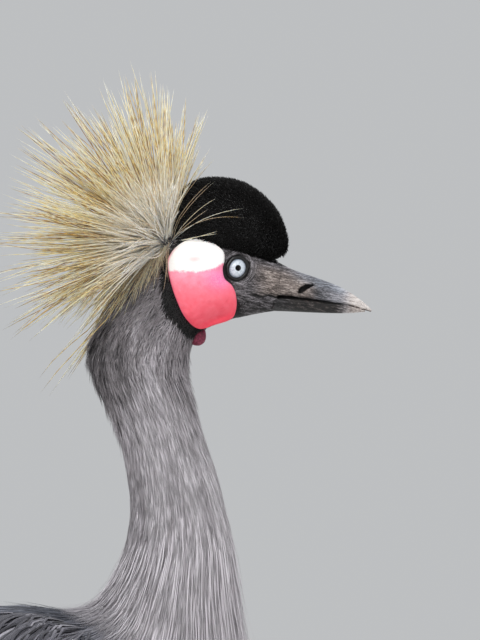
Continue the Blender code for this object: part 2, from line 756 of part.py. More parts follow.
def make_right_flight():
    """The folded flight feathers, which hang past the tail: secondaries, with primaries below them.
    Each lies over the next one down, and they pile up towards their tips."""
    top_edge, low_edge = (lambda u: -15 - 4 * u), (lambda u: -97 + 2 * u)
    pieces = [panel("flight", WING_BED, (5.45, 6.9), (top_edge, low_edge), -0.0002, 0.0028, (2, 5))]
    secondaries, primaries = 6, 3
    for k in range(secondaries):
        share = k / (secondaries - 1)
        pile = 0.0012 * (secondaries - 1 - k)
        pieces.append(feather(
            "secondary", WING_BED, (6.0, -21 - 66 * share), (10.9 - 0.8 * share, -30 - 58 * share),
            (0.0012, 0.0022 + 0.2 * pile, 0.0026 + 0.5 * pile, 0.0024 + 0.8 * pile, 0.0020 + pile),
            0.0112, tilt=0.0014, steps=6, profile=blade_width, thick=0.0007,
        ))
    for k in range(primaries):
        share = k / (primaries - 1)
        pieces.append(feather(
            "primary", WING_BED, (6.3, -78 - 13 * share), (10.6 - 0.4 * share, -96 - 15 * share),
            (0.0010, 0.0004, -0.0006, -0.0012 * (1 + k)), 0.0085, tilt=0.0012,
            steps=5, profile=blade_width, thick=0.0007,
        ))
    return cut(join("wing_flight_right", pieces), torso_cutter())


def make_right_plumes():
    """The golden plumes that grow above the white panel and hang over it."""
    top_edge, low_edge = (lambda u: -21.0), (lambda u: -30.0)
    pieces = [panel("plumes", WING_BED, (1.6, 4.6), (top_edge, low_edge), -0.0004, 0.0092, (3, 2))]
    count = 7
    for k in range(count):
        share = k / (count - 1)
        start = 1.9 + 2.3 * share
        top = 0.0096 + 0.0014 * (k % 2)
        pieces.append(feather(
            "plume", WING_BED, (start, -25.5), (start + 2.6 + 0.4 * (k % 2), -66 - 9 * (k % 3)),
            (0.0066, top, top, top - 0.0010), 0.0036, bow=-5, steps=5, thick=0.0009,
        ))
    return cut(join("wing_plumes_right", pieces), torso_cutter())


def make_tail():
    """Ten tail feathers in a narrow fan, from the end face of the torso."""
    base = BODY.section(TAIL_BASE)
    dorsal, ventral = Vector((base[0], 0, base[1])), Vector((base[2], 0, base[3]))
    middle = (dorsal + ventral) / 2 + Vector((0, 0, EYE_HEIGHT))
    back = Vector((-math.cos(math.radians(38)), 0, -math.sin(math.radians(38))))
    upright = Vector((0, 1, 0)).cross(back)
    ring = BODY.ring(TAIL_BASE, 14, slide=GAP)
    root_rings = [
        [middle + (p - middle) * shrink + back * away for p in ring]
        for away, shrink in ((0.0, 1.0), (0.02, 0.9), (0.045, 0.5))
    ]
    pieces = [skin_rings("tail", root_rings)]
    for k in range(10):
        share = (k - 4.5) / 4.5
        fan = math.radians(share * 3.5)
        heading = back * math.cos(fan) + Vector((0, 1, 0)) * math.sin(fan)
        across = upright.cross(heading).normalized()
        level = 0.0060 - 0.0012 * abs(k - 4.3)
        start = middle + back * 0.012 + Vector((0, 1, 0)) * (share * 0.010) + upright * level
        length = 0.150 - 0.014 * abs(share)
        rows = []
        for i in range(4):
            s = i / 3
            centre = start + heading * (length * s) - upright * (0.010 * s * s)
            width = 0.0090 * blade_width(s)
            rows.append([centre - across * width, centre + across * width])
        pieces.append(strip("rectrix", rows, [[upright] * 2] * 4, [0.0007] * 4))
    return join("tail", pieces)


def leg_loft(rows):
    """A loft for one limb from rows of: height above the floor in metres, centre x in millimetres,
    depth from front to back and width, both in millimetres. Sections are level."""
    stations = []
    for height, x, depth, width in rows:
        z = (height - EYE_HEIGHT) / MM
        stations.append((x + depth / 2, z, x - depth / 2, z, width / 2))
    return Loft(stations, lane=LEG_LANE)


def make_left_thigh():
    rows = (
        (0.470, FOOT_X + 10, 104, 62), (0.435, FOOT_X + 8, 96, 60), (0.400, FOOT_X + 3, 72, 50),
        (0.370, FOOT_X - 4, 50, 38), (0.345, FOOT_X - 10, 31, 27), (THIGH_END, FOOT_X - 13, 18, 17),
    )
    thigh = loft_object("thigh_left", leg_loft(rows), 0, 5, 6, 12, ends=(0, HALF_GAP))
    return cut(thigh, torso_cutter())


def make_left_leg():
    """The bare leg: shin, swollen ankle joint and long slender tarsus."""
    rows = (
        (THIGH_END, FOOT_X - 13, 13.5, 11.5), (0.290, FOOT_X - 19, 12.0, 10.0),
        (0.255, FOOT_X - 24.5, 12.5, 11.0), (0.238, FOOT_X - 27.5, 16.5, 14.5),
        (ANKLE_HEIGHT, FOOT_X - 29, 19.0, 16.0), (0.209, FOOT_X - 27.5, 16.0, 13.0),
        (0.190, FOOT_X - 24, 12.0, 9.6), (0.140, FOOT_X - 16.5, 11.0, 8.6),
        (0.080, FOOT_X - 8.0, 11.0, 8.6), (0.035, FOOT_X - 2.0, 12.0, 10.0), (FOOT_TOP, FOOT_X, 14.5, 13.5),
    )
    return loft_object("leg_left", leg_loft(rows), 0, 10, 11, 12, ends=(HALF_GAP, HALF_GAP))


def limb_ring(centre, half_width, half_height, heading, sides):
    """An upright oval ring across a heading that runs level."""
    across = Vector((-heading.y, heading.x, 0))
    return [
        centre + across * (half_width * math.cos(a)) + Vector((0, 0, half_height * math.sin(a)))
        for a in (math.tau * k / sides for k in range(sides))
    ]


def toe_heading(angle):
    return Vector((math.cos(math.radians(angle)), math.sin(math.radians(angle)), 0))


def make_left_foot():
    """Four toes with padded joints on a small flat sole."""
    hub = Vector((FOOT_X * MM, LEG_LANE, 0))
    hub_rings = [
        [hub + Vector((0.0085 * k * math.cos(a), 0.0080 * k * math.sin(a), z))
         for a in (math.tau * i / 10 for i in range(10))]
        for z, k in ((-0.001, 1.0), (0.005, 1.05), (0.010, 0.95), (FOOT_TOP - HALF_GAP, 0.86))
    ]
    pieces = [skin_rings("foot_left", hub_rings)]
    for angle, length, _ in TOES.values():
        heading = toe_heading(angle)
        rings = []
        for i in range(5):
            s = i / 4
            pad = 1 + 0.12 * math.cos(s * math.tau * 2)
            half_width = (0.0052 - 0.0022 * s) * pad
            half_height = (0.0048 - 0.0021 * s) * pad
            centre = hub + heading * (length * s) + Vector((0, 0, half_height * 0.72))
            rings.append(limb_ring(centre, half_width, half_height, heading, 7))
        pieces.append(skin_rings("toe", rings))
    foot = join("foot_left", pieces)
    flatten_below(foot, 0.0)
    return foot


def make_left_claw(toe):
    angle, length, claw_length = TOES[toe]
    heading = toe_heading(angle)
    start = Vector((FOOT_X * MM, LEG_LANE, 0)) + heading * (length + GAP)
    rings = []
    for i in range(4):
        s = i / 3
        radius = 0.0024 * (1 - s) ** 0.8 + 0.0003
        rise = 0.0028 + 0.0008 * math.sin(3 * s) - 0.0018 * s
        centre = start + heading * (claw_length * s) + Vector((0, 0, rise))
        rings.append(limb_ring(centre, radius * 0.8, radius, heading, 6))
    return skin_rings("claw_left_" + toe, rings)


def centre_over_origin(nodes):
    """Moves the whole bird along X, so that the origin is below the middle of its box."""
    corners = [obj.matrix_world @ Vector(c) for obj in nodes for c in obj.bound_box]
    middle = (min(c.x for c in corners) + max(c.x for c in corners)) / 2
    for obj in nodes:
        obj.data.transform(Matrix.Translation((-middle, 0, 0)))


def main():
    for obj in list(bpy.data.objects):
        bpy.data.objects.remove(obj)
    slate = make_material("slate_feather", (0.10, 0.105, 0.125), 0.75)
    neck_grey = make_material("neck_feather", (0.24, 0.23, 0.24), 0.75)
    velvet = make_material("black_velvet", (0.006, 0.006, 0.006), 0.9)
    gold = make_material("golden_bristle", (0.62, 0.45, 0.23), 0.6)
    white = make_material("white_covert", (0.80, 0.78, 0.74), 0.7)
    chestnut = make_material("chestnut_flight", (0.13, 0.035, 0.02), 0.6)
    black = make_material("black_feather", (0.015, 0.015, 0.017), 0.6)
    cheek_skin = make_material("cheek_skin", (0.85, 0.16, 0.19), 0.5)
    wattle_skin = make_material("wattle_skin", (0.30, 0.03, 0.09), 0.5)
    horn = make_material("bill_horn", (0.16, 0.15, 0.145), 0.5)
    face = make_material("face_skin", (0.05, 0.048, 0.05), 0.7)
    leg_scale = make_material("leg_scale", (0.035, 0.035, 0.04), 0.6)
    iris = make_material("pale_iris", (0.55, 0.60, 0.66), 0.15)

    crest = make_crest()
    nodes = {
        make_head(): face, make_cap(): velvet, make_wattle(): wattle_skin, crest: gold, make_tail(): black,
        make_torso(): slate, make_eye(RIGHT): iris, make_eye(LEFT): iris,
    }
    nodes.update(zip(make_bill(), (horn, horn)))
    nodes.update(zip(make_neck(), (neck_grey, neck_grey)))
    one_sided = {
        make_left_cheek(): cheek_skin, make_right_coverts(): white, make_right_flight(): chestnut,
        make_right_plumes(): gold, make_left_thigh(): slate, make_left_leg(): leg_scale,
        make_left_foot(): leg_scale,
    }
    one_sided.update({make_left_claw(toe): horn for toe in TOES})
    for obj, material in list(one_sided.items()):
        other = obj.name.replace("left", "#").replace("right", "left").replace("#", "right")
        nodes[mirrored(obj, other)] = material
        nodes[obj] = material

    bird = bpy.data.collections.new("black_crowned_crane")
    bpy.context.scene.collection.children.link(bird)
    for obj, material in nodes.items():
        for collection in obj.users_collection:
            collection.objects.unlink(obj)
        bird.objects.link(obj)
        paint(obj, material)
    bpy.context.view_layer.update()
    centre_over_origin(list(nodes))


main()
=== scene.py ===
"""The looks of a black crowned crane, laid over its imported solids.

Tables are in millimetres in the bird's own side view, measured from the centre of the eye,
and repeat the outlines of the solids. All other lengths are in metres.
"""

import math

import bpy
import numpy as np
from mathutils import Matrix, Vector
from mathutils.bvhtree import BVHTree


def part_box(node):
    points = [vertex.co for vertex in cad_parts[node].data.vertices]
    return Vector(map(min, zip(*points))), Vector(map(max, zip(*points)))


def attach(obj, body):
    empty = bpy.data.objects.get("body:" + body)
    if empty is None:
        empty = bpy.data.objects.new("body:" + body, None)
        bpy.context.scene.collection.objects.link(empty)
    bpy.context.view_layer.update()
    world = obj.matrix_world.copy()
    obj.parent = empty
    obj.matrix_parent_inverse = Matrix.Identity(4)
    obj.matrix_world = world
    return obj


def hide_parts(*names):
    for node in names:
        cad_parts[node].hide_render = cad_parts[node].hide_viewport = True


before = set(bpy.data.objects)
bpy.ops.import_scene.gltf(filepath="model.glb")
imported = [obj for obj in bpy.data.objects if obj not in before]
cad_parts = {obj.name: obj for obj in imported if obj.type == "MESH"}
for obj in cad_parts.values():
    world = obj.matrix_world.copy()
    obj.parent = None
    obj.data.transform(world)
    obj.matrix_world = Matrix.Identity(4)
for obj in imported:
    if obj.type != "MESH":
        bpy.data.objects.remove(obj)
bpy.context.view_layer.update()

MM = 0.001
EYE_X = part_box("bill_upper")[1][0] - 80.5 * MM
EYE_HEIGHT = 0.800
RIGHT, LEFT = -1, 1
SIDES = ((RIGHT, "right"), (LEFT, "left"))
TAU = math.tau

# Each station of an outline is: dorsal x, dorsal z, ventral x, ventral z, half width.
BODY_STATIONS = (
    (26.0, 3.0, 22.0, -25.5, 9.5), (16.0, 8.5, 13.0, -27.0, 13.5), (6.0, 15.0, 4.0, -29.0, 17.5),
    (-6.0, 22.0, -6.0, -31.0, 20.5), (-20.0, 26.0, -15.0, -34.0, 22.0), (-36.0, 24.0, -21.0, -38.0, 22.5),
    (-52.0, 12.0, -25.0, -42.0, 22.5), (-66.0, -6.0, -27.0, -46.0, 22.5),
    (-80.0, -26.0, -28.5, -50.0, 23.0), (-88.0, -45.0, -29.5, -56.0, 24.0),
    (-88.5, -60.0, -30.5, -65.0, 24.5), (-83.0, -75.0, -28.0, -74.0, 24.0),
    (-75.0, -92.0, -23.0, -91.0, 23.0), (-69.5, -108.0, -17.7, -108.0, 22.5),
    (-65.7, -127.0, -11.7, -126.0, 23.0), (-64.0, -146.0, -7.0, -146.0, 25.0),
    (-67.0, -166.0, -2.0, -166.0, 28.5), (-73.5, -184.0, -0.5, -188.0, 34.0),
    (-82.0, -198.0, 2.0, -215.0, 43.0), (-92.0, -206.0, 6.0, -245.0, 55.0),
    (-104.0, -205.0, 4.0, -285.0, 68.0), (-118.0, -202.0, -12.0, -330.0, 79.0),
    (-140.0, -201.5, -52.0, -368.0, 86.0), (-168.0, -204.0, -110.0, -388.0, 89.0),
    (-200.0, -211.0, -175.0, -391.0, 87.0), (-240.0, -224.0, -235.0, -376.0, 78.0),
    (-280.0, -240.0, -285.0, -348.0, 63.0), (-315.0, -256.0, -322.0, -320.0, 44.0),
    (-345.0, -272.0, -350.0, -302.0, 26.0),
)
WING_BED_STATIONS = (
    (-100.0, -204.0, 2.0, -275.0, 66.5), (-118.0, -200.5, -10.0, -330.0, 80.5),
    (-140.0, -200.0, -50.0, -370.0, 87.5), (-168.0, -202.5, -110.0, -390.0, 90.5),
    (-200.0, -209.5, -175.0, -392.0, 88.5), (-240.0, -222.5, -235.0, -378.0, 79.5),
    (-282.0, -239.0, -290.0, -358.0, 68.0), (-325.0, -258.0, -342.0, -362.0, 58.0),
    (-370.0, -284.0, -394.0, -386.0, 49.0), (-415.0, -316.0, -442.0, -412.0, 41.0),
    (-458.0, -354.0, -484.0, -434.0, 33.0), (-494.0, -396.0, -514.0, -452.0, 25.0),
)
CAP_STATIONS = (
    (28.9, 15.5, 28.5, 10.5, 2.5), (28.0, 23.0, 26.5, 5.0, 7.0), (24.5, 33.0, 23.0, 2.5, 11.5),
    (19.0, 41.0, 18.0, 1.5, 15.5), (11.0, 48.3, 11.0, 1.5, 19.3), (1.0, 53.8, 1.0, 1.5, 22.0),
    (-11.0, 55.8, -11.0, 2.0, 23.6), (-22.0, 55.0, -20.0, 3.0, 23.0), (-30.5, 50.0, -28.0, 4.0, 20.0),
    (-35.5, 41.0, -32.0, 6.0, 14.5), (-39.0, 31.0, -35.0, 9.0, 8.0),
)
UPPER_BILL_STATIONS = (
    (25.9, 2.7, 23.1, -17.1, 9.2), (34.7, -1.5, 32.0, -17.3, 7.9), (46.7, -5.6, 45.0, -18.9, 6.1),
    (57.7, -9.7, 57.0, -20.5, 4.6), (66.9, -14.3, 66.5, -21.7, 3.3), (74.0, -19.0, 73.5, -23.8, 2.1),
    (78.5, -22.8, 78.0, -25.0, 1.1), (80.5, -24.9, 80.2, -25.7, 0.45),
)
LOWER_BILL_STATIONS = (
    (23.1, -17.4, 22.0, -25.5, 8.9), (32.0, -17.6, 31.0, -25.8, 7.4), (45.0, -19.2, 44.0, -26.4, 5.5),
    (57.0, -20.8, 56.5, -26.8, 4.0), (66.5, -22.0, 66.0, -26.8, 2.7), (73.0, -24.0, 72.7, -26.3, 1.5),
    (76.5, -25.2, 76.4, -26.0, 0.6),
)
CHEEK_OUTLINE = (
    (-24.0, 18.7), (-32.5, 15.6), (-38.7, 10.4), (-41.7, 3.5), (-40.3, -6.5), (-36.4, -18.8),
    (-31.0, -29.8), (-23.2, -36.2), (-13.4, -33.8), (-3.6, -30.2), (-0.7, -24.0), (-0.8, -16.6),
    (-3.2, -10.4), (-7.6, -6.2), (-8.9, -0.5), (-8.8, 4.5), (-12.4, 12.4), (-17.6, 17.2),
)
CHEEK_CENTRE = (-22.0, -9.0)
CHEEK_PUFF = 0.0032
CHEEK_LEAST_Y = 0.0115
# Border of the black velvet band behind the cheek, z and x from the throat up.
BLACK_BORDER = (
    (-44.0, -26.0), (-41.1, -31.5), (-34.5, -36.3), (-30.3, -42.3), (-23.1, -45.3), (-6.9, -46.5),
    (30.0, -46.0),
)
# The line where the bill closes, x and z from the corner of the mouth to the tip.
MOUTH_LINE = (
    (8.0, -16.7), (11.8, -16.6), (30.2, -17.2), (43.9, -18.9), (57.7, -20.7), (66.9, -22.0), (74.2, -24.0),
    (81, -26),
)

EYE_RADIUS = 0.0080
EYE_DEPTH = 0.0062
EYE_LOOK = np.array((0.24, 1.0, 0.08)) / math.sqrt(0.24**2 + 1 + 0.08**2)
EYE_SURFACE_Y = 0.0186
IRIS_RADIUS = 0.0053
PUPIL_RADIUS = 0.00175

CREST_CENTRE = (-42.6, 14.6)
CREST_AXIS_DEGREES = 153.0
CREST_HALF_SPREAD_DEGREES = 80.0
CREST_LENGTH = 0.112
# How many hairs or plumes are drawn for each coat, before those in the way of bare skin are left out.
COUNTS = {
    "head": 12600, "neck_high": 9200, "neck_middle": 9200, "neck_low": 8000, "loose": 44, "body": 7000,
    "thigh": 2500, "cap": 15800, "brow": 5200, "clumps": 330, "down": 470, "nape": 230, "cheek": 15,
    "tuft": 420,
}
# Each hair or vane has its own small patch of the bake map.
HAIR_PATCH_WIDTH, VANE_PATCH_WIDTH, PATCH_LENGTH = 0.0012, 0.0014, 0.0028
VANE_CAMBER, VANE_THICKNESS, SHAFT_RISE = 0.0004, 0.00035, 0.00022
FOOT_X = -160.0
LEG_LANE = 0.045
FOOT_TOP = 0.015
TOES = {"middle": (5.0, 0.082), "inner": (-27.0, 0.062), "outer": (38.0, 0.066), "hind": (188.0, 0.040)}


def unit(v):
    return v / np.maximum(np.linalg.norm(v, axis=-1, keepdims=True), 1e-12)


def dot(a, b):
    return (a * b).sum(axis=-1)


def smooth(low, high, value):
    """Rises smoothly from 0 at low to 1 at high."""
    share = np.clip((value - low) / (high - low), 0, 1)
    return share * share * (3 - 2 * share)


def spot(x, z, y=0.0):
    """A point of the side view, in millimetres from the eye, as a place in the model."""
    return np.array((EYE_X + x * MM, y, EYE_HEIGHT + z * MM))


def side_view(points):
    """x and z of points in millimetres from the eye."""
    return (points[..., 0] - EYE_X) / MM, (points[..., 2] - EYE_HEIGHT) / MM


class Loft:
    """A rounded form through stations. A place on it is t, which counts stations, and turn, the
    angle round the section from the dorsal line (0) over the left side (+) or the right (-)."""

    def __init__(self, stations, waist=0.5, power=2.0, lane=0.0):
        self.rows = np.array(stations, float) * MM
        self.waist, self.power, self.lane = waist, power, lane
        self.last = len(stations) - 1
        self.facing = 1
        middle = self.last / 2
        out = self.point(middle, 0, MM) - self.point(middle, 0)
        self.facing = 1 if dot(self.frame(middle, 0)[2], out) > 0 else -1

    def section(self, t):
        t = np.asarray(t, float)
        i = np.clip(np.floor(t).astype(int), 0, self.last - 1)
        f = (t - i)[..., None]
        a, b, c, d = (self.rows[np.clip(i + k, 0, self.last)] for k in (-1, 0, 1, 2))
        cubic = (2 * a - 5 * b + 4 * c - d) * f**2 + (3 * b - a - 3 * c + d) * f**3
        return 0.5 * (2 * b + (c - a) * f + cubic)

    def point(self, t, turn, lift=0.0):
        t, turn, lift = np.broadcast_arrays(np.asarray(t, float), turn, lift)
        over = t - np.clip(t, 0, self.last)
        inside = t - over
        dorsal_x, dorsal_z, ventral_x, ventral_z, half_width = np.moveaxis(self.section(inside), -1, 0)
        zero = np.zeros_like(dorsal_x)
        up = np.stack((dorsal_x - ventral_x, zero, dorsal_z - ventral_z), axis=-1)
        height = np.linalg.norm(up, axis=-1)
        cosine, sine = np.cos(turn), np.sin(turn)
        round_off = (np.abs(cosine) ** self.power + np.abs(sine) ** self.power) ** (-1 / self.power)
        reach = height * np.where(cosine > 0, 1 - self.waist, self.waist) + lift
        along = height * self.waist + cosine * round_off * reach
        across = self.lane + sine * round_off * (half_width + lift)
        low = np.stack((ventral_x + EYE_X, across, EYE_HEIGHT + ventral_z), axis=-1)
        place = low + up / np.maximum(height, 1e-9)[..., None] * along[..., None]
        ahead = (self.rows[-1, [0, 2]] - self.rows[-2, [0, 2]]).sum() / 2
        below = (self.rows[-1, [1, 3]] - self.rows[-2, [1, 3]]).sum() / 2
        return place + over[..., None] * np.array((ahead, 0, below))

    def frame(self, t, turn):
        """Change of place with t and with turn, and the outward normal."""
        step = 0.01
        with_t = (self.point(t + step, turn) - self.point(t - step, turn)) / (2 * step)
        with_turn = (self.point(t, turn + step) - self.point(t, turn - step)) / (2 * step)
        return with_t, with_turn, unit(np.cross(with_turn, with_t)) * self.facing


BODY = Loft(BODY_STATIONS, power=2.12)
WING_BED = Loft(WING_BED_STATIONS, power=2.12)
CAP = Loft(CAP_STATIONS, power=2.2)


def leg_loft(rows, side):
    """A limb from rows of: height in metres, centre x, depth and width in millimetres."""
    stations = [
        (x + depth / 2, (height - EYE_HEIGHT) / MM, x - depth / 2, (height - EYE_HEIGHT) / MM, width / 2)
        for height, x, depth, width in rows
    ]
    return Loft(stations, lane=LEG_LANE * side)


THIGH_ROWS = (
    (0.470, FOOT_X + 10, 104, 62), (0.435, FOOT_X + 8, 96, 60), (0.400, FOOT_X + 3, 72, 50),
    (0.370, FOOT_X - 4, 50, 38), (0.345, FOOT_X - 10, 31, 27), (0.327, FOOT_X - 13, 18, 17),
)
LEG_ROWS = (
    (0.327, FOOT_X - 13, 13.5, 11.5), (0.290, FOOT_X - 19, 12.0, 10.0), (0.255, FOOT_X - 24.5, 12.5, 11.0),
    (0.238, FOOT_X - 27.5, 16.5, 14.5), (0.224, FOOT_X - 29, 19.0, 16.0), (0.209, FOOT_X - 27.5, 16.0, 13.0),
    (0.190, FOOT_X - 24, 12.0, 9.6), (0.140, FOOT_X - 16.5, 11.0, 8.6), (0.080, FOOT_X - 8.0, 11.0, 8.6),
    (0.035, FOOT_X - 2.0, 12.0, 10.0), (FOOT_TOP, FOOT_X, 14.5, 13.5),
)


# Meshes: each is (points, faces, fields), where faces has four corners a row (the last one
# repeated on a triangle) and fields holds one number for each point under a name.

def outward(points, faces):
    """Turns the faces of closed forms so that they point outwards."""
    a, b, c, d = (points[faces[:, k]] for k in range(4))
    volume = dot(np.cross(a, b), c).sum() + dot(np.cross(a, c), d).sum()
    return faces if volume > 0 else turned_over(faces)


def turned_over(faces):
    corner = faces[:, 2] == faces[:, 3]
    return np.where(corner[:, None], faces[:, [1, 0, 2, 3]], faces[:, ::-1])


def grid_mesh(points, ring=False):
    """A closed surface over rows of points, (rows, columns, 3), closed round each row, and at its
    ends by a fan, or with its last row joined to its first on a ring."""
    rows, columns, _ = points.shape
    i, k = np.meshgrid(np.arange(rows if ring else rows - 1), np.arange(columns), indexing="ij")
    onward, after = (i + 1) % rows * columns, (k + 1) % columns
    faces = np.stack((i * columns + k, i * columns + after, onward + after, onward + k), axis=-1)
    faces = faces.reshape(-1, 4)
    flat = points.reshape(-1, 3)
    if not ring:
        flat = np.concatenate((flat, points[:1].mean(axis=1), points[-1:].mean(axis=1)))
        first, last, start = rows * columns, rows * columns + 1, (rows - 1) * columns
        k = np.arange(columns)
        after = (k + 1) % columns
        faces = np.concatenate((
            faces,
            np.stack((after, k, np.full(columns, first), np.full(columns, first)), axis=-1),
            np.stack((start + k, start + after, np.full(columns, last), np.full(columns, last)), axis=-1),
        ))
    return flat, outward(flat - flat.mean(axis=0), faces), {}


def round_grid(places, count):
    """Every place along a form with count angles round it."""
    return np.meshgrid(places, np.linspace(0, TAU, count, endpoint=False), indexing="ij")


def set_fields(mesh, **values):
    """Gives all points of a mesh the same value of a field."""
    mesh[2].update({name: np.full(len(mesh[0]), value) for name, value in values.items()})


def spread_over(values):
    """A field over the points of a grid, with one more value for each fan's middle."""
    return np.append(values.ravel(), (values[0].mean(), values[-1].mean()))


def merge(*meshes):
    """Several meshes as one."""
    names = set().union(*(m[2] for m in meshes))
    counts = np.cumsum([0] + [len(m[0]) for m in meshes])
    points = np.concatenate([m[0] for m in meshes])
    faces = np.concatenate([m[1] + start for m, start in zip(meshes, counts)])
    fields = {n: np.concatenate([m[2].get(n, np.zeros(len(m[0]))) for m in meshes]) for n in names}
    return points, faces, fields


def mirror(mesh):
    points, faces, fields = mesh
    return points * (1, -1, 1), turned_over(faces), fields


FLAT = np.array(((-1, 0), (1, 0), (0, 1)))
ROUND = np.array(((-0.87, -0.5), (0.87, -0.5), (0, 1)))


def strands(paths, normals, half_width, height, corners=FLAT, root_uv=None, **fields):
    """Tapered hairs or narrow plumes along paths, (count, steps, 3), each ending in a point."""
    count, steps, _ = paths.shape
    heading = unit(np.gradient(paths, axis=1))
    side = unit(np.cross(normals, heading))
    top = np.cross(heading, side)
    rings = [
        paths + side * (half_width * across)[..., None] + top * (height * upward)[..., None]
        for across, upward in corners
    ]
    rings = np.stack(rings, axis=2)[:, :-1].reshape(count, -1, 3)
    points = np.concatenate((rings, paths[:, -1:]), axis=1)
    own = 3 * (steps - 1) + 1
    faces = [
        (3 * i + c, 3 * i + (c + 1) % 3, 3 * i + 3 + (c + 1) % 3, 3 * i + 3 + c)
        for i in range(steps - 2) for c in range(3)
    ]
    end = 3 * (steps - 2)
    faces += [(end + c, end + (c + 1) % 3, own - 1, own - 1) for c in range(3)]
    faces += [(0, 2, 1, 1)]
    faces = (np.array(faces)[None] + (np.arange(count) * own)[:, None, None]).reshape(-1, 4)
    along = np.append(np.repeat(np.arange(steps - 1), 3), steps - 1) / (steps - 1)
    corner = np.append(np.tile((-1.0, 1.0, 0.0), steps - 1), 0.0)
    own_fields = {
        "along": np.tile(along, count), "corner": np.tile(corner, count),
        **{
            name: np.broadcast_to(np.reshape(v, (count, -1)), (count, own)).ravel()
            for name, v in fields.items()
        },
    }
    if root_uv is not None:
        own_fields["u"] = (root_uv[0][:, None] + HAIR_PATCH_WIDTH * corner).ravel()
        own_fields["v"] = (root_uv[1][:, None] + PATCH_LENGTH * (along - 0.5)).ravel()
    return points.reshape(-1, 3), faces, own_fields


def lance(s):
    """Share of the full width along a narrow pointed feather."""
    return np.where(s < 0.5, 0.5 + s, 1 - 0.9 * (np.maximum(s - 0.5, 0) / 0.5) ** 1.6)


def blade(s):
    """Share of the full width along a broad feather with a narrow root and a round tip."""
    tip = np.sqrt(np.maximum(1 - (np.maximum(s - 0.74, 0) / 0.262) ** 2, 0.012))
    return np.where(s < 0.3, 0.35 + 0.65 * np.sin(np.pi * np.minimum(s, 0.3) / 0.6),
                    np.where(s < 0.74, 1.0, tip))


def vanes(bed, start, end, lifts, half_width, tilt=0.0, bow=0.0, steps=12, columns=7, profile=blade,
          draw=None, **fields):
    """Broad feathers that lie on a loft. start and end are (t, turn in degrees) for each one, lifts
    are heights from root to tip, tilt raises one edge and bow bends the line sideways."""
    start, end, lifts = (np.asarray(v, float) for v in (start, end, lifts))
    count = len(start)
    lifts = np.broadcast_to(lifts, (count, lifts.shape[-1]))
    half_width, tilt, bow = (np.broadcast_to(np.asarray(v, float), count)[:, None]
                             for v in (half_width, tilt, bow))
    s = 1 - (1 - np.linspace(0, 1, steps)) ** 1.35
    knots = np.linspace(0, 1, lifts.shape[1])
    lift = np.array([np.interp(s, knots, row) for row in lifts])
    s = s[None]
    reach = (end - start)[:, None]
    t = start[:, :1] + reach[..., 0] * s
    turn = np.radians(start[:, 1:] + reach[..., 1] * s + bow * np.sin(np.pi * s))
    drift = np.radians(reach[..., 1] + bow * np.pi * np.cos(np.pi * s))
    with_t, with_turn, normal = bed.frame(t, turn)
    heading = unit(with_t * reach[..., :1] + with_turn * drift[..., None])
    side = np.cross(normal, heading)
    width = half_width * profile(s)
    k = np.linspace(-1, 1, columns)
    t_here = t[..., None] + (dot(side, with_t) / dot(with_t, with_t) * width)[..., None] * k
    turn_here = turn[..., None] + (dot(side, with_turn) / dot(with_turn, with_turn) * width)[..., None] * k
    shaft = SHAFT_RISE * np.exp(-(k / 0.12) ** 2)
    lift_here = lift[..., None] + tilt[..., None] * k * profile(s)[..., None]
    lift_here = lift_here + VANE_CAMBER * (1 - k**2) + shaft
    top = bed.point(t_here, turn_here, lift_here)
    out = bed.frame(t_here, turn_here)[2]
    under = top - out * (VANE_THICKNESS * (1 - 0.6 * k**2))[:, None]
    own = 2 * steps * columns
    points = np.stack((top, under), axis=1).reshape(count * own, 3)
    faces = []
    half = steps * columns
    for i in range(steps - 1):
        for c in range(columns - 1):
            a = i * columns + c
            faces += [(a, a + 1, a + 1 + columns, a + columns)]
            faces += [(half + a, half + a + columns, half + a + 1 + columns, half + a + 1)]
        a, b = i * columns, i * columns + columns - 1
        faces += [(a, a + columns, a + columns + half, a + half),
                  (b, b + half, b + half + columns, b + columns)]
    for c in range(columns - 1):
        a, b = c, (steps - 1) * columns + c
        faces += [(a, a + half, a + half + 1, a + 1), (b, b + 1, b + half + 1, b + half)]
    faces = (np.array(faces)[None] + (np.arange(count) * own)[:, None, None]).reshape(-1, 4)
    faces = outward(points, faces)
    length = np.linalg.norm(np.diff(top[:, :, columns // 2], axis=1), axis=-1).sum(axis=1)
    barb = (length[:, None, None] * s[..., None] - np.abs(k) * width[..., None] * 1.1) / MM
    spread = np.broadcast_to(k, (count, steps, columns))
    both = {"barb": barb, "corner": spread, "along": np.broadcast_to(s[..., None], spread.shape)}
    own_fields = {name: np.stack((v, v), axis=1).ravel() for name, v in both.items()}
    own_fields.update({n: np.repeat(np.broadcast_to(v, count), own) for n, v in fields.items()})
    own_fields["rand"] = np.repeat(draw.random(count), own)
    root_u, root_v = start[:, 1] / 360 + 0.5, start[:, 0] / (bed.last + 1)
    own_fields["u"] = np.repeat(root_u, own) + VANE_PATCH_WIDTH * own_fields["corner"]
    own_fields["v"] = np.repeat(root_v, own) + PATCH_LENGTH * (own_fields["along"] - 0.5)
    return points, faces, own_fields


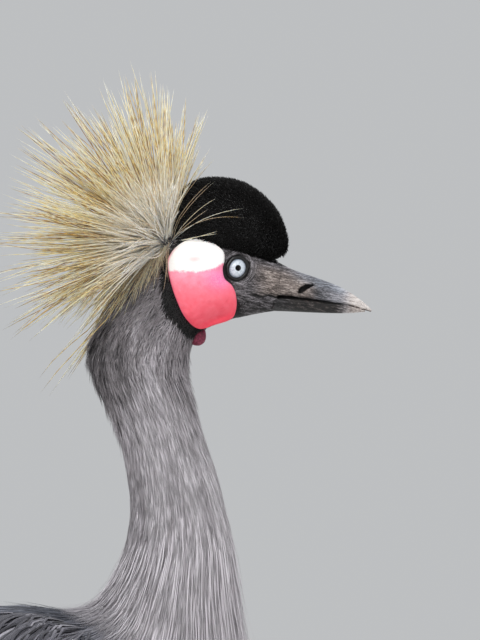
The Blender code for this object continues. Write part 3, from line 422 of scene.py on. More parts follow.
def piece(name, mesh, material, replaces=(), seams=None):
    """A mesh as a shown piece that rides on the bird."""
    points, faces, fields = mesh
    corners = np.where(faces[:, 2] == faces[:, 3], 3, 4)
    used = np.ones(faces.shape, bool)
    used[:, 3] = corners == 4
    data = bpy.data.meshes.new(name)
    data.vertices.add(len(points))
    data.vertices.foreach_set("co", np.ascontiguousarray(points, np.float32).ravel())
    loops = faces[used].astype(np.int32)
    data.loops.add(len(loops))
    data.loops.foreach_set("vertex_index", loops)
    data.polygons.add(len(faces))
    data.polygons.foreach_set("loop_start", np.append(0, np.cumsum(corners)[:-1]).astype(np.int32))
    data.update(calc_edges=True)
    for field, values in fields.items():
        if field not in ("u", "v"):
            layer = data.attributes.new(field, "FLOAT", "POINT")
            layer.data.foreach_set("value", np.ascontiguousarray(values, np.float32))
    if "u" in fields:
        layer = data.uv_layers.new(name="OFBake")
        uv = np.stack((fields["u"], fields["v"]), axis=-1)[loops]
        layer.data.foreach_set("uv", np.ascontiguousarray(uv, np.float32).ravel())
    data.validate()
    data.shade_smooth()
    if seams:
        data.set_sharp_from_angle(angle=math.radians(seams))
    data.materials.append(material)
    obj = bpy.data.objects.new(name, data)
    bpy.context.scene.collection.objects.link(obj)
    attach(obj, "root")
    if replaces:
        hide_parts(*replaces)
    return obj


def linear(colour):
    share = np.array(colour) / 255
    return (*np.where(share < 0.04045, share / 12.92, ((share + 0.055) / 1.055) ** 2.4), 1.0)


class Output:
    """The output of a shader node, which takes part in sums as a number does."""

    def __init__(self, shade, socket):
        self.shade, self.socket = shade, socket

    def __add__(self, other):
        return self.shade.calc("ADD", self, other)

    def __radd__(self, other):
        return self.shade.calc("ADD", other, self)

    def __sub__(self, other):
        return self.shade.calc("SUBTRACT", self, other)

    def __rsub__(self, other):
        return self.shade.calc("SUBTRACT", other, self)

    def __mul__(self, other):
        return self.shade.calc("MULTIPLY", self, other)

    def __rmul__(self, other):
        return self.shade.calc("MULTIPLY", other, self)


class Shade:
    """Builds one material, node by node."""

    def __init__(self, name, roughness=0.6, specular=0.4, **inputs):
        self.material = bpy.data.materials.new(name)
        self.material.use_nodes = True
        self.nodes = self.material.node_tree.nodes
        self.links = self.material.node_tree.links
        self.shader = self.nodes["Principled BSDF"]
        self.shader.inputs["Roughness"].default_value = roughness
        self.shader.inputs["Specular IOR Level"].default_value = specular
        for key, value in inputs.items():
            self.shader.inputs[key.replace("_", " ")].default_value = value

    def put(self, socket, value):
        if isinstance(value, Output):
            self.links.new(value.socket, socket)
        else:
            socket.default_value = value

    def field(self, name):
        node = self.nodes.new("ShaderNodeAttribute")
        node.attribute_name = name
        return Output(self, node.outputs["Fac"])

    def place(self, *stretch):
        where = self.nodes.new("ShaderNodeTexCoord").outputs["Object"]
        node = self.nodes.new("ShaderNodeVectorMath")
        node.operation = "MULTIPLY"
        self.put(node.inputs[0], Output(self, where))
        node.inputs[1].default_value = [1000 * s for s in stretch]
        return Output(self, node.outputs[0])

    def vector(self, *parts):
        node = self.nodes.new("ShaderNodeCombineXYZ")
        for socket, part in zip(node.inputs, parts):
            self.put(socket, part)
        return Output(self, node.outputs[0])

    def noise(self, vector, scale=1.0, detail=3.0, roughness=0.5, warp=0.0):
        node = self.nodes.new("ShaderNodeTexNoise")
        self.put(node.inputs["Vector"], vector)
        for key, value in (("Scale", scale), ("Detail", detail), ("Roughness", roughness),
                           ("Distortion", warp)):
            node.inputs[key].default_value = value
        return Output(self, node.outputs[0])

    def cells(self, vector, scale=1.0):
        node = self.nodes.new("ShaderNodeTexVoronoi")
        node.feature = "DISTANCE_TO_EDGE"
        self.put(node.inputs["Vector"], vector)
        node.inputs["Scale"].default_value = scale
        return Output(self, node.outputs[0])

    def calc(self, operation, *values):
        node = self.nodes.new("ShaderNodeMath")
        node.operation = operation
        for socket, value in zip(node.inputs, values):
            self.put(socket, value)
        return Output(self, node.outputs[0])

    def ramp(self, factor, *stops):
        node = self.nodes.new("ShaderNodeValToRGB")
        self.put(node.inputs[0], factor)
        band = node.color_ramp
        while len(band.elements) < len(stops):
            band.elements.new(0.5)
        for element, (place, colour) in zip(band.elements, stops):
            element.position = place
            element.color = linear(colour) if isinstance(colour, tuple) else (colour, colour, colour, 1)
        return Output(self, node.outputs[0])

    def mix(self, factor, first, second, mode="MIX"):
        node = self.nodes.new("ShaderNodeMix")
        node.data_type = "RGBA"
        node.blend_type = mode
        for socket, value in zip((node.inputs[0], node.inputs[6], node.inputs[7]), (factor, first, second)):
            self.put(socket, linear(value) if isinstance(value, tuple) else value)
        return Output(self, node.outputs[2])

    def colour(self, value):
        self.put(self.shader.inputs["Base Color"], value)
        return self

    def bump(self, height, strength=0.5, depth=0.0003, after=None):
        node = self.nodes.new("ShaderNodeBump")
        node.inputs["Strength"].default_value = strength
        node.inputs["Distance"].default_value = depth
        self.put(node.inputs["Height"], height)
        if after is not None:
            self.put(node.inputs["Normal"], after)
        normal = Output(self, node.outputs[0])
        self.put(self.shader.inputs["Normal"], normal)
        return normal


GREYS = (
    (0.0, (9, 8, 9)), (0.16, (26, 23, 24)), (0.34, (80, 76, 79)), (0.5, (120, 116, 119)),
    (0.64, (150, 145, 151)), (0.8, (182, 177, 183)), (1.0, (222, 218, 222)),
)
COAT_GREYS = (
    (0.0, (8, 7, 8)), (0.12, (22, 19, 20)), (0.3, (88, 84, 87)), (0.5, (160, 154, 158)),
    (0.64, (198, 192, 198)), (0.8, (224, 219, 224)), (1.0, (246, 242, 246)),
)
COAT_SLATES = (
    (0.0, (12, 12, 14)), (0.2, (44, 46, 54)), (0.4, (90, 93, 104)), (0.56, (130, 132, 143)),
    (0.75, (176, 178, 188)), (1.0, (214, 216, 224)),
)


def plumage_material():
    """Grey neck plumes that turn to slate on the body: the tone and the coolness come from each plume."""
    s = Shade("plumage", 0.62, 0.25, Sheen_Weight=0.12, Sheen_Roughness=0.5)
    streak = s.noise(s.vector(s.field("rand") * 90.0, s.field("corner"), s.field("along")), 1.7)
    tone = s.field("tone") + (streak - 0.5) * 0.14
    s.colour(s.mix(s.field("cool"), s.ramp(tone, *COAT_GREYS), s.ramp(tone, *COAT_SLATES)))
    return s.material


def face_material(name, roughness, specular):
    """Wrinkled skin that passes into streaky horn: the tints and the run of the lines are fields."""
    s = Shade(name, roughness, specular)
    folds = []
    for across, along, detail, twist in ((0.95, 0.13, 4.0, 0.9), (2.6, 0.55, 3.0, 0.5)):
        straight = s.noise(s.vector(s.field("fold") * across, s.field("run") * along, s.field("deep")), 1.0,
                           detail, 0.62, twist)
        round_eye = s.noise(s.vector(s.field("ring") * across, s.field("spin") * (along * 9),
                                     s.field("deep")), 1.0, detail, 0.62, twist)
        near = s.field("near")
        folds.append(straight * (1.0 - near) + round_eye * near)
    fold, fine = folds
    grain = s.noise(s.place(1.0, 1.0, 1.6), 1.4, 4.0, 0.7)
    blotch = s.noise(s.place(0.16, 0.16, 0.16), 1.0, 3.0)
    tone = s.field("tone")
    for part, share in ((fold, 1.3), (fine, 0.95), (grain, 0.60), (blotch, 0.26)):
        tone = tone + (part - 0.5) * share
    # Thin dark lines along the folds are painted shade in the creases of the skin.
    for part in (fold, fine):
        crack = s.ramp(s.calc("ABSOLUTE", part - 0.47), (0.0, 1.0), (0.035, 0.0))
        tone = tone - crack * 0.13
    brown = s.ramp(tone, (0.0, (26, 23, 22)), (0.2, (74, 66, 62)), (0.45, (134, 121, 115)),
                   (0.7, (186, 173, 165)),
                   (1.0, (226, 217, 210)))
    blue = s.ramp(tone, (0.0, (28, 28, 31)), (0.3, (88, 90, 97)), (0.6, (142, 146, 156)),
                  (1.0, (206, 209, 216)))
    s.colour(s.mix(s.field("blue"), s.mix(s.field("horn"), s.ramp(tone, *GREYS), brown), blue))
    s.bump(grain, 0.6, 0.0003, s.bump(fine, 0.8, 0.0005, s.bump(fold, 1.0, 0.0012)))
    return s.material


def velvet_material():
    s = Shade("black_velvet", 0.85, 0.12, Sheen_Weight=0.12, Sheen_Roughness=0.35)
    plush = s.noise(s.place(1, 1, 1), 0.33, 3.0)
    tone = s.field("rand") * 0.4 + plush * 0.6
    # Each hair of the pile is painted darker towards its root and lighter at its tip: painted shade deep in
    # the pile.
    tone = tone * (0.5 + s.field("along") * 0.6)
    s.colour(s.ramp(tone, (0.1, (4, 4, 4)), (0.5, (13, 12, 12)), (0.9, (32, 30, 30))))
    return s.material


def crest_material():
    """Stiff golden bristles: one flank brown, cream by the root, where painted light is added round the fan,
    and darker, knotted tips.
    """
    s = Shade("golden_bristle", 0.32, 0.6, Sheen_Weight=0.25, Sheen_Roughness=0.4, Subsurface_Weight=0.6,
              Subsurface_Scale=0.003)
    s.shader.inputs["Subsurface Radius"].default_value = (1.0, 0.85, 0.6)
    twist = s.calc("SINE", s.field("along") * 85.0 + s.field("corner") * 1.6)
    flank = twist * 0.2 + s.field("corner") * 0.2
    tone = s.field("tone") + flank + s.field("rand") * 0.3
    gold = s.ramp(tone, (0.0, (104, 66, 24)), (0.25, (172, 120, 50)), (0.5, (234, 190, 100)),
                  (0.75, (255, 230, 150)), (1.0, (255, 248, 208)))
    cream = s.ramp(tone, (0.0, (226, 192, 148)), (0.4, (255, 240, 212)), (1.0, (255, 251, 236)))
    dull = s.ramp(tone, (0.0, (96, 60, 36)), (0.5, (164, 118, 78)), (1.0, (222, 186, 142)))
    # The pale field lightens the bristles round the fan's root: their own cream roots and painted light.
    root = s.calc("MAXIMUM", s.ramp(s.field("along"), (0.10, 1.0), (0.48, 0.0)), s.field("pale"))
    s.colour(s.mix(s.field("dull"), s.mix(root, gold, cream), dull))
    return s.material


def cheek_material():
    """Smooth bare skin, chalk white above and coral red below."""
    s = Shade("cheek_skin", 0.5, 0.3, Subsurface_Weight=0.12, Subsurface_Scale=0.002)
    s.shader.inputs["Subsurface Radius"].default_value = (1.0, 0.35, 0.3)
    wave = s.noise(s.place(0.25, 0.25, 0.25), 1.0, 3.0)
    fine = s.noise(s.place(1, 1, 1), 1.3, 3.0)
    level = s.field("level") + (wave - 0.5) * 3.2
    level = level + (fine - 0.5) * 1.6
    depth = (level + 34.0) * (1 / 34)
    depth = depth + (wave - 0.5) * 0.45
    red = s.ramp(depth, (0.0, (244, 72, 92)), (0.35, (253, 104, 122)), (0.7, (255, 126, 144)),
                 (0.98, (255, 156, 178)))
    red = s.mix(s.field("pink"), red, s.ramp(fine, (0.3, (236, 112, 170)), (0.7, (250, 150, 190))))
    white = s.mix(s.field("mark"), (253, 250, 248), (226, 196, 196))
    upper = s.calc("SMOOTH_MIN", 1.0, s.calc("MAXIMUM", (level + 0.7) * 0.7, 0.0), 0.1)
    skin = s.mix(upper, red, white)
    s.colour(s.mix(s.field("rim"), skin, (240, 96, 128)))
    first = s.bump(wave, 0.5, 0.0014)
    s.bump(s.noise(s.place(1, 1, 1), 0.8, 5.0, 0.65), 0.45, 0.0005, first)
    return s.material


def wattle_material():
    s = Shade("wattle_skin", 0.5, 0.4, Subsurface_Weight=0.1, Subsurface_Scale=0.002)
    fine = s.noise(s.place(1, 1, 1), 0.9, 4.0)
    s.colour(s.ramp(fine, (0.25, (70, 16, 30)), (0.5, (118, 32, 58)), (0.75, (156, 60, 90))))
    s.bump(fine, 0.6, 0.0004)
    return s.material


def vane_material(name, stops, roughness=0.55, sheen=0.05):
    """A broad feather: fine slanting barbs, a paler shaft and its own shade."""
    s = Shade(name, roughness, 0.3, Sheen_Weight=sheen)
    own = s.field("rand") * 57.0
    barbs = s.noise(s.vector(s.field("barb") * 2.4, s.field("corner") * 0.7, own), 1.0, 2.0, 0.5)
    soft = s.noise(s.vector(s.field("barb") * 0.12, s.field("corner"), own), 1.0, 2.0)
    shaft = s.calc("LESS_THAN", s.calc("ABSOLUTE", s.field("corner")), 0.05)
    tone = s.field("tone") + (barbs - 0.5) * 0.5
    tone = tone + (soft - 0.5) * 0.4
    tone = tone + shaft * 0.2
    s.colour(s.ramp(tone, *stops))
    s.bump(barbs, 0.6, 0.0003)
    return s.material


def eye_material():
    """Pale iris with fine rays, round pupil and dark rim under a wet surface."""
    s = Shade("pale_iris", 0.08, 0.16, Coat_Weight=0.12, Coat_Roughness=0.02)
    ray = s.noise(s.vector(s.field("spin") * 6.0, s.field("off") * 0.5, 0.0), 1.0, 4.0, 0.6)
    iris = s.ramp(ray, (0.25, (156, 166, 178)), (0.5, (204, 212, 221)), (0.8, (240, 244, 248)))
    edge = s.field("off") * (1 / 8)
    shade = s.ramp(edge, (0.0, (2, 2, 3)), (PUPIL_RADIUS / MM / 8 - 0.006, (2, 2, 3)),
                   (PUPIL_RADIUS / MM / 8 + 0.012, (255, 255, 255)), (0.5, (246, 246, 248)),
                   (IRIS_RADIUS / MM / 8 - 0.03, (168, 172, 180)), (IRIS_RADIUS / MM / 8 + 0.02, (6, 6, 7)))
    s.colour(s.mix(1.0, iris, shade, "MULTIPLY"))
    return s.material


def plain_skin_material(name, stops, roughness=0.5, scale=0.5, depth=0.0003, scaly=False):
    s = Shade(name, roughness, 0.4)
    fine = s.noise(s.place(1, 1, 1), scale, 4.0)
    if scaly:
        cells = s.cells(s.place(1, 1, 0.8), 0.55)
        crack = s.ramp(cells, (0.0, 0.0), (0.12, 1.0))
        tone = (fine + 0.05) * (0.45 + crack * 0.6)
        s.colour(s.ramp(tone, *stops))
        s.bump(fine, 0.3, 0.0002, s.bump(crack, 0.8, depth))
    else:
        s.colour(s.ramp(fine, *stops))
        s.bump(fine, 0.4, depth)
    return s.material


def inside_outline(x, z, outline, centre=None, scale=1.0):
    """Whether places of the side view lie inside a closed outline."""
    corners = np.array(outline)
    if centre is not None:
        corners = (corners - centre) * scale + centre
    inside = np.zeros(np.shape(x), bool)
    for (x1, z1), (x2, z2) in zip(corners, np.roll(corners, -1, axis=0)):
        if z1 != z2:
            inside ^= ((z1 > z) != (z2 > z)) & (x < (x2 - x1) * (z - z1) / (z2 - z1) + x1)
    return inside


def eye_frame(side):
    """The way an eye looks and the centre of its ball."""
    look = EYE_LOOK * (1, side, 1)
    return look, spot(0, 0, EYE_SURFACE_Y * side) - look * EYE_DEPTH


def tree_of(mesh):
    points, faces, _ = mesh
    return BVHTree.FromPolygons([tuple(p) for p in points], [tuple(dict.fromkeys(f)) for f in faces.tolist()])


def side_hit(tree, x, z, side, far=0.06):
    """Where a form's surface lies at a place of the side view, or None."""
    return tree.ray_cast(Vector(spot(x, z, far * side)), Vector((0, -side, 0)))[0]


def signed(tree, points):
    """Distance of each point from a surface, below 0 inside it, and the surface's normal there."""
    found, normals = np.empty(len(points)), np.empty((len(points), 3))
    for i, point in enumerate(points):
        near, normal, _, distance = tree.find_nearest(Vector(point))
        found[i] = math.copysign(distance, (Vector(point) - near).dot(normal))
        normals[i] = normal
    return found, normals


def even_places(count, draw):
    """Places spread evenly over a unit square."""
    k = np.arange(count)[:, None] + draw.random()
    return (k * np.array((0.7548776662, 0.5698402910))) % 1.0


def scatter(loft, count, t_range, draw, turn_range=(-math.pi, math.pi), weight=None):
    """About count places on a loft, as many for each patch of its surface as its area, times weight."""
    samples = even_places(int(count * 3.2), draw)
    t = t_range[0] + (t_range[1] - t_range[0]) * samples[:, 0]
    turn = turn_range[0] + (turn_range[1] - turn_range[0]) * samples[:, 1]
    with_t, with_turn, _ = loft.frame(t, turn)
    area = np.linalg.norm(np.cross(with_turn, with_t), axis=-1)
    if weight is not None:
        area = area * weight(t, turn)
    keep = draw.random(len(t)) < area * count / area.sum()
    return t[keep], turn[keep]


def lay(loft, t, turn, length, root_lift, tip_lift, drift=0.0, steps=4, rise=1.0):
    """Centre lines that follow a loft towards its end, and the loft's normals along them."""
    paths, normals = [], []
    t, turn = np.array(t, float), np.array(turn, float)
    for i in range(steps):
        s = i / (steps - 1)
        with_t, _, normal = loft.frame(t, turn)
        paths.append(loft.point(t, turn, root_lift + (tip_lift - root_lift) * s**rise))
        normals.append(normal)
        t = t + length / (steps - 1) / np.linalg.norm(with_t, axis=-1)
        turn = turn + drift / (steps - 1)
    return np.stack(paths, axis=1), np.stack(normals, axis=1)


def waves(a, b, seed):
    """Soft random waves between -1 and 1 over a plane."""
    grid = np.random.default_rng(seed).uniform(-1, 1, (64, 64))
    i, k = np.floor(a).astype(int), np.floor(b).astype(int)
    f, g = smooth(0, 1, a - i), smooth(0, 1, b - k)
    corner = lambda di, dk: grid[(i + di) % 64, (k + dk) % 64]
    low = corner(0, 0) * (1 - f) + corner(1, 0) * f
    high = corner(0, 1) * (1 - f) + corner(1, 1) * f
    return low * (1 - g) + high * g


def coat_depth(t):
    """How far the skin lies below the solids' surface: bare on the face, deepest on the body."""
    return np.interp(t, (0, 2.5, 4.5, 8, 12, 18, 21, 25, 28),
                     (0.0, 0.0003, 0.0008, 0.0014, 0.0018, 0.0026, 0.0056, 0.0056, 0.004))


def black_share(x, z):
    """How black the short feathers are at a place in side view."""
    heights, borders = np.array(BLACK_BORDER).T
    behind = smooth(-0.9, 0.9, x - np.interp(z, heights, borders))
    return behind * smooth(-44.0, -41.5, z) * smooth(-1.0, -5.0, x + 0.35 * (z + 12))


def base_tone(points, t, turn):
    """Lightness of skin and plumes at a place, and how much it turns from grey to slate."""
    x, z = side_view(points)
    back = smooth(0.1, 0.9, np.cos(turn))
    front = smooth(0.2, 0.95, -np.cos(turn))
    tone = np.interp(t, (0, 2, 4, 7, 10, 13, 16, 18.5, 21, 28),
                     (0.44, 0.42, 0.42, 0.52, 0.65, 0.76, 0.71, 0.61, 0.39, 0.34))
    tone = tone - 0.12 * back * (1 - smooth(11.0, 15.0, t)) - 0.05 * front * smooth(11, 9, t)
    ragged = np.hypot((x + 79) / 17, (z + 63) / 26) + 0.35 * waves(turn * 7, t * 2.0, 7)
    tone = tone - 0.15 * smooth(1.25, 0.75, ragged) * smooth(-0.2, 0.4, np.cos(turn))
    tone = tone - 0.10 * back * smooth(17.0, 20.0, t)
    mantle = smooth(-86, -98, x) * smooth(0.0, 0.5, np.cos(turn)) * smooth(16.5, 18.0, t)
    tone = tone + (0.34 - tone) * mantle
    cool = np.maximum(smooth(17.0, 20.5, t + 1.6 * back), mantle)
    black = black_share(x, z) * (t < 12)
    return tone * (1 - black) + 0.015 * black, cool


def face_fields(points, turn_cosine):
    """Fields of the shared face and bill material: how the lines run, tints, and painted shade
    along the mouth line and the crease above it.
    """
    x, z = side_view(points)
    places, heights = np.array(MOUTH_LINE).T
    mouth = z - np.interp(x, places, heights) - 0.45 * np.sin(x * 0.75) * smooth(44, 26, x)
    # The dark line where the bill closes and the crease above it are painted shade.
    line = np.exp(-(mouth / 0.62) ** 2) * smooth(7.0, 10.5, x)
    crease = np.exp(-((mouth - 2.3 - 0.5 * np.sin(x * 0.5)) / 0.35) ** 2)
    crease = crease * smooth(12, 17, x) * smooth(38, 30, x)
    brown = smooth(6, 20, x) * smooth(50, 40, x) * smooth(2.5, -4.5, z + 0.28 * (x - 24))
    brown = brown * smooth(-0.5, 2.0, mouth)
    reach = np.hypot(x, z)
    slate = smooth(0.3, 0.9, turn_cosine) * smooth(28, 42, x) + 0.55 * smooth(44, 50, x)
    return {
        "fold": 0.21 * x + 0.978 * z, "run": 0.978 * x - 0.21 * z, "ring": reach, "spin": np.arctan2(z, -x),
        "near": smooth(15.0, 9.5, reach), "deep": np.sign(points[..., 1]) * 9,
        "horn": np.clip(0.9 * brown + 0.75 * smooth(60, 70, x), 0, 1),
        "blue": np.clip(slate * smooth(70, 60, x) * 0.8, 0, 1),
    }, line + 0.5 * crease


def face_tone(x):
    """Lightness along the face and the upper bill."""
    return np.interp(x, (-10, 8, 18, 34, 44, 54, 62, 70, 81),
                     (0.43, 0.40, 0.43, 0.50, 0.46, 0.48, 0.74, 0.98, 1.05))


def body_skin():
    """The one skin of head, neck, body and thighs, with a dent round each eye."""
    places = np.concatenate((
        np.linspace(0, 4.0, 150)[:-1], np.linspace(4.0, 9.0, 70)[:-1], np.linspace(9.0, 28.0, 110)
    ))
    turns = np.linspace(0, TAU, 168, endpoint=False)
    t, turn = np.meshgrid(places, turns, indexing="ij")
    points = BODY.point(t, turn, -coat_depth(t))
    _, _, normals = BODY.frame(t, turn)
    x, z = side_view(points)
    flank = smooth(0.35, 0.75, np.abs(np.sin(turn)))
    # Folds: a brow over the eye, a pouch under it and the corner of the mouth.
    reach = np.hypot(x, z)
    spin = np.arctan2(z, x)
    fields, line = face_fields(points, np.cos(turn))
    folds = 0.00020 * np.sin(reach * 2.1 + 0.9 * np.sin(3 * spin + 0.7))
    folds = folds * smooth(13.5, 8.5, reach) * smooth(6.5, 8.0, reach)
    brow = 0.0008 * np.exp(-((reach - 9.0) / 1.2) ** 2) * smooth(-0.5, 0.6, np.cos(spin - 0.9))
    lip = 0.0004 * np.exp(-((z + 18.3) / 1.0) ** 2) * smooth(6.0, 12.5, x)
    points = points + normals * ((folds + brow + lip - 0.0008 * line) * flank)[..., None]
    for side in (RIGHT, LEFT):
        look, centre = eye_frame(side)
        away = points - centre
        ahead = dot(away, look)
        off = np.linalg.norm(away - look * ahead[..., None], axis=-1)
        near = (ahead > 0) & (off < 0.0085)
        dent = 0.0010 * smooth(0.0084, 0.0062, off)
        ball = np.sqrt(np.maximum(EYE_RADIUS**2 - off**2, 0)) - 0.0007
        level = np.where(off < 0.0060, np.minimum(ahead - dent, ball), ahead - dent)
        points = np.where(near[..., None], points + look * (level - ahead)[..., None], points)
    tone, cool = base_tone(points, t, turn)
    bare = smooth(2.6, 1.4, t)
    # The mouth line and the crease above it are darkened here as painted shade.
    tone = tone * (1 - bare) + face_tone(x) * bare - 0.36 * line * flank
    tone = tone - 0.34 * smooth(8.2, 7.0, reach) * flank * (t < 5)
    tone = tone - 0.12 * smooth(-18.4, -20.6, z) * (t < 3.4)
    # A paler crescent on the raised brow over the eye: the grey lid's own colour, with painted highlight on
    # the fold.
    tone = tone + 0.10 * np.exp(-((reach - 9.2) / 0.9) ** 2) * smooth(-0.5, 0.6, np.cos(spin - 0.9)) * (t < 5)
    rim = BODY.point(np.zeros(turn.shape[1]), turns, -0.0003) + (0.0006, 0, 0)
    mesh = grid_mesh(np.concatenate((rim[None], points)))
    fields.update(tone=tone, cool=cool)
    mesh[2].update({name: spread_over(np.concatenate((v[:1], v))) for name, v in fields.items()})
    meshes = [mesh]
    for side in (RIGHT, LEFT):
        thigh = leg_loft(THIGH_ROWS, side)
        t, turn = round_grid(np.linspace(0, 5, 30), 36)
        limb = grid_mesh(thigh.point(t, turn, -0.0025 * smooth(5.0, 3.0, t)))
        set_fields(limb, tone=0.3, cool=1.0)
        meshes.append(limb)
    nodes = ("head", "neck_upper", "neck_lower", "torso", "thigh_left", "thigh_right")
    return piece("skin", merge(*meshes), face_material("face_skin", 0.58, 0.3), nodes)


def eyes():
    material = eye_material()
    lid = plain_skin_material("black_lid", ((0.3, (8, 8, 9)), (0.7, (26, 25, 26))), 0.38, 1.2, 0.0002)
    for side, name in SIDES:
        look, centre = eye_frame(side)
        across = unit(np.cross((0, 0, 1.0), look))
        upward = np.cross(look, across)
        off, spin = round_grid(np.linspace(0.01, math.pi * 0.62, 64), 72)
        bulge = 1 + 0.035 * np.exp(-(off / 0.55) ** 2)
        radius = (EYE_RADIUS - 0.0001) * bulge
        points = centre + radius[..., None] * (
            np.sin(off)[..., None] * (np.cos(spin)[..., None] * across + np.sin(spin)[..., None] * upward)
            + np.cos(off)[..., None] * look
        )
        mesh = grid_mesh(points)
        # The iris is a little longer along a line that leans forward, as the lids are.
        lean = spin - math.radians(62 if side == RIGHT else 118)
        shown = EYE_RADIUS * np.sin(off) / MM
        shown = shown * (1 - 0.10 * np.cos(2 * lean) * smooth(1.2, 3.6, shown))
        mesh[2].update(off=spread_over(shown), spin=spread_over(spin))
        piece("eye_ball_" + name, mesh, material, ("eye_" + name,))
        rim = np.linspace(0, TAU, 96, endpoint=False)
        tube = np.linspace(0, TAU, 20, endpoint=False)
        around, across_tube = np.meshgrid(rim, tube, indexing="ij")
        tilt = around - math.radians(62 if side == RIGHT else 118)
        middle = 0.00622 + 0.00048 * np.cos(2 * tilt) + 0.0002 * np.exp(-(around / 0.3) ** 2)
        fat = 0.00088 * (1 + 0.25 * np.cos(tilt) + 0.12 * np.sin(7 * around) * np.cos(across_tube))
        level = 0.0056 + 0.0002 * np.sin(2 * around)
        ring = middle + fat * np.cos(across_tube)
        lid_points = centre + (
            (ring * np.cos(around))[..., None] * across + (ring * np.sin(around))[..., None] * upward
            + (level + fat * 0.8 * np.sin(across_tube))[..., None] * look
        )
        piece("eye_lid_" + name, grid_mesh(lid_points, ring=True), lid, ())


def bill():
    """Upper and lower bill with the nostril, the cutting edges and the ridge."""
    material = face_material("bill_horn", 0.46, 0.4)
    for name, rows, waist in (
        ("bill_upper", UPPER_BILL_STATIONS, 0.16), ("bill_lower", LOWER_BILL_STATIONS, 0.86)
    ):
        loft = Loft(rows, waist, 2.1)
        turns = np.linspace(0, TAU, 128, endpoint=False)
        t, turn = np.meshgrid(np.linspace(0, loft.last, 190), turns, indexing="ij")
        points = loft.point(t, turn)
        normal = loft.frame(t, turn)[2]
        x, z = side_view(points)
        flank = smooth(0.2, 0.6, np.abs(np.sin(turn)))
        tip = smooth(56, 72, x)
        fields, line = face_fields(points, np.cos(turn))
        if name == "bill_upper":
            # The nostril is an oblique slit with a raised flap below and in front of it.
            slope = math.radians(27)
            along = (x - 41.2) * math.cos(slope) + (z + 11.4) * math.sin(slope)
            over = -(x - 41.2) * math.sin(slope) + (z + 11.4) * math.cos(slope)
            bowed = over + 0.035 * along**2 - 0.35
            slit = smooth(1.25, 0.85, np.hypot(along / 5.0, bowed / np.maximum(1.30 - 0.10 * along, 0.2)))
            flap = np.exp(-((along - 4.2) / 2.4) ** 2 - ((over + 2.2) / 1.2) ** 2)
            trough = np.exp(-((along + 1.0) / 9.0) ** 2 - ((over - 0.6) / 2.4) ** 2)
            depth = -0.0034 * slit + 0.0005 * flap - 0.0005 * trough
            ridge = 0.00025 * np.exp(-(np.minimum(turn, TAU - turn) / 0.22) ** 2) * smooth(78, 60, x)
            inside = smooth(-0.55, -0.85, np.cos(turn))
            points = points + normal * (depth * flank + ridge + 0.0004 * inside)[..., None]
            # The slit is painted dark: painted shade in the opening of the nostril.
            tone = face_tone(x) + 0.18 * flap * flank - 1.3 * slit * flank
            tone = tone - 0.10 * np.exp(-((x - 52) / 6) ** 2) * flank
            # The inner face, hidden where the bills close, is painted dark as painted shade, and so are the
            # mouth line and its crease.
            tone = tone - 0.36 * line * flank - 0.5 * inside
        else:
            patch = smooth(28, 36, x) * smooth(66, 57, x)
            inside = smooth(0.60, 0.85, np.cos(turn))
            points = points + normal * (0.0006 * inside)[..., None]
            # The lower bill's upper face, where the bills meet, and the mouth line are painted dark as
            # painted shade.
            tone = 0.165 + 0.695 * tip - 0.10 * patch - 0.30 * line * flank - 0.5 * inside
            fields["horn"] = 0.5 * patch + 0.8 * tip
            fields["blue"] = fields["blue"] * (1 - patch)
        rim = loft.point(np.zeros(len(turns)), turns, -0.0002) - (0.0012, 0, 0)
        mesh = grid_mesh(np.concatenate((rim[None], points)))
        fields.update(tone=tone)
        mesh[2].update({name: spread_over(np.concatenate((v[:1], v))) for name, v in fields.items()})
        piece(name + "_horn", mesh, material, (name,))


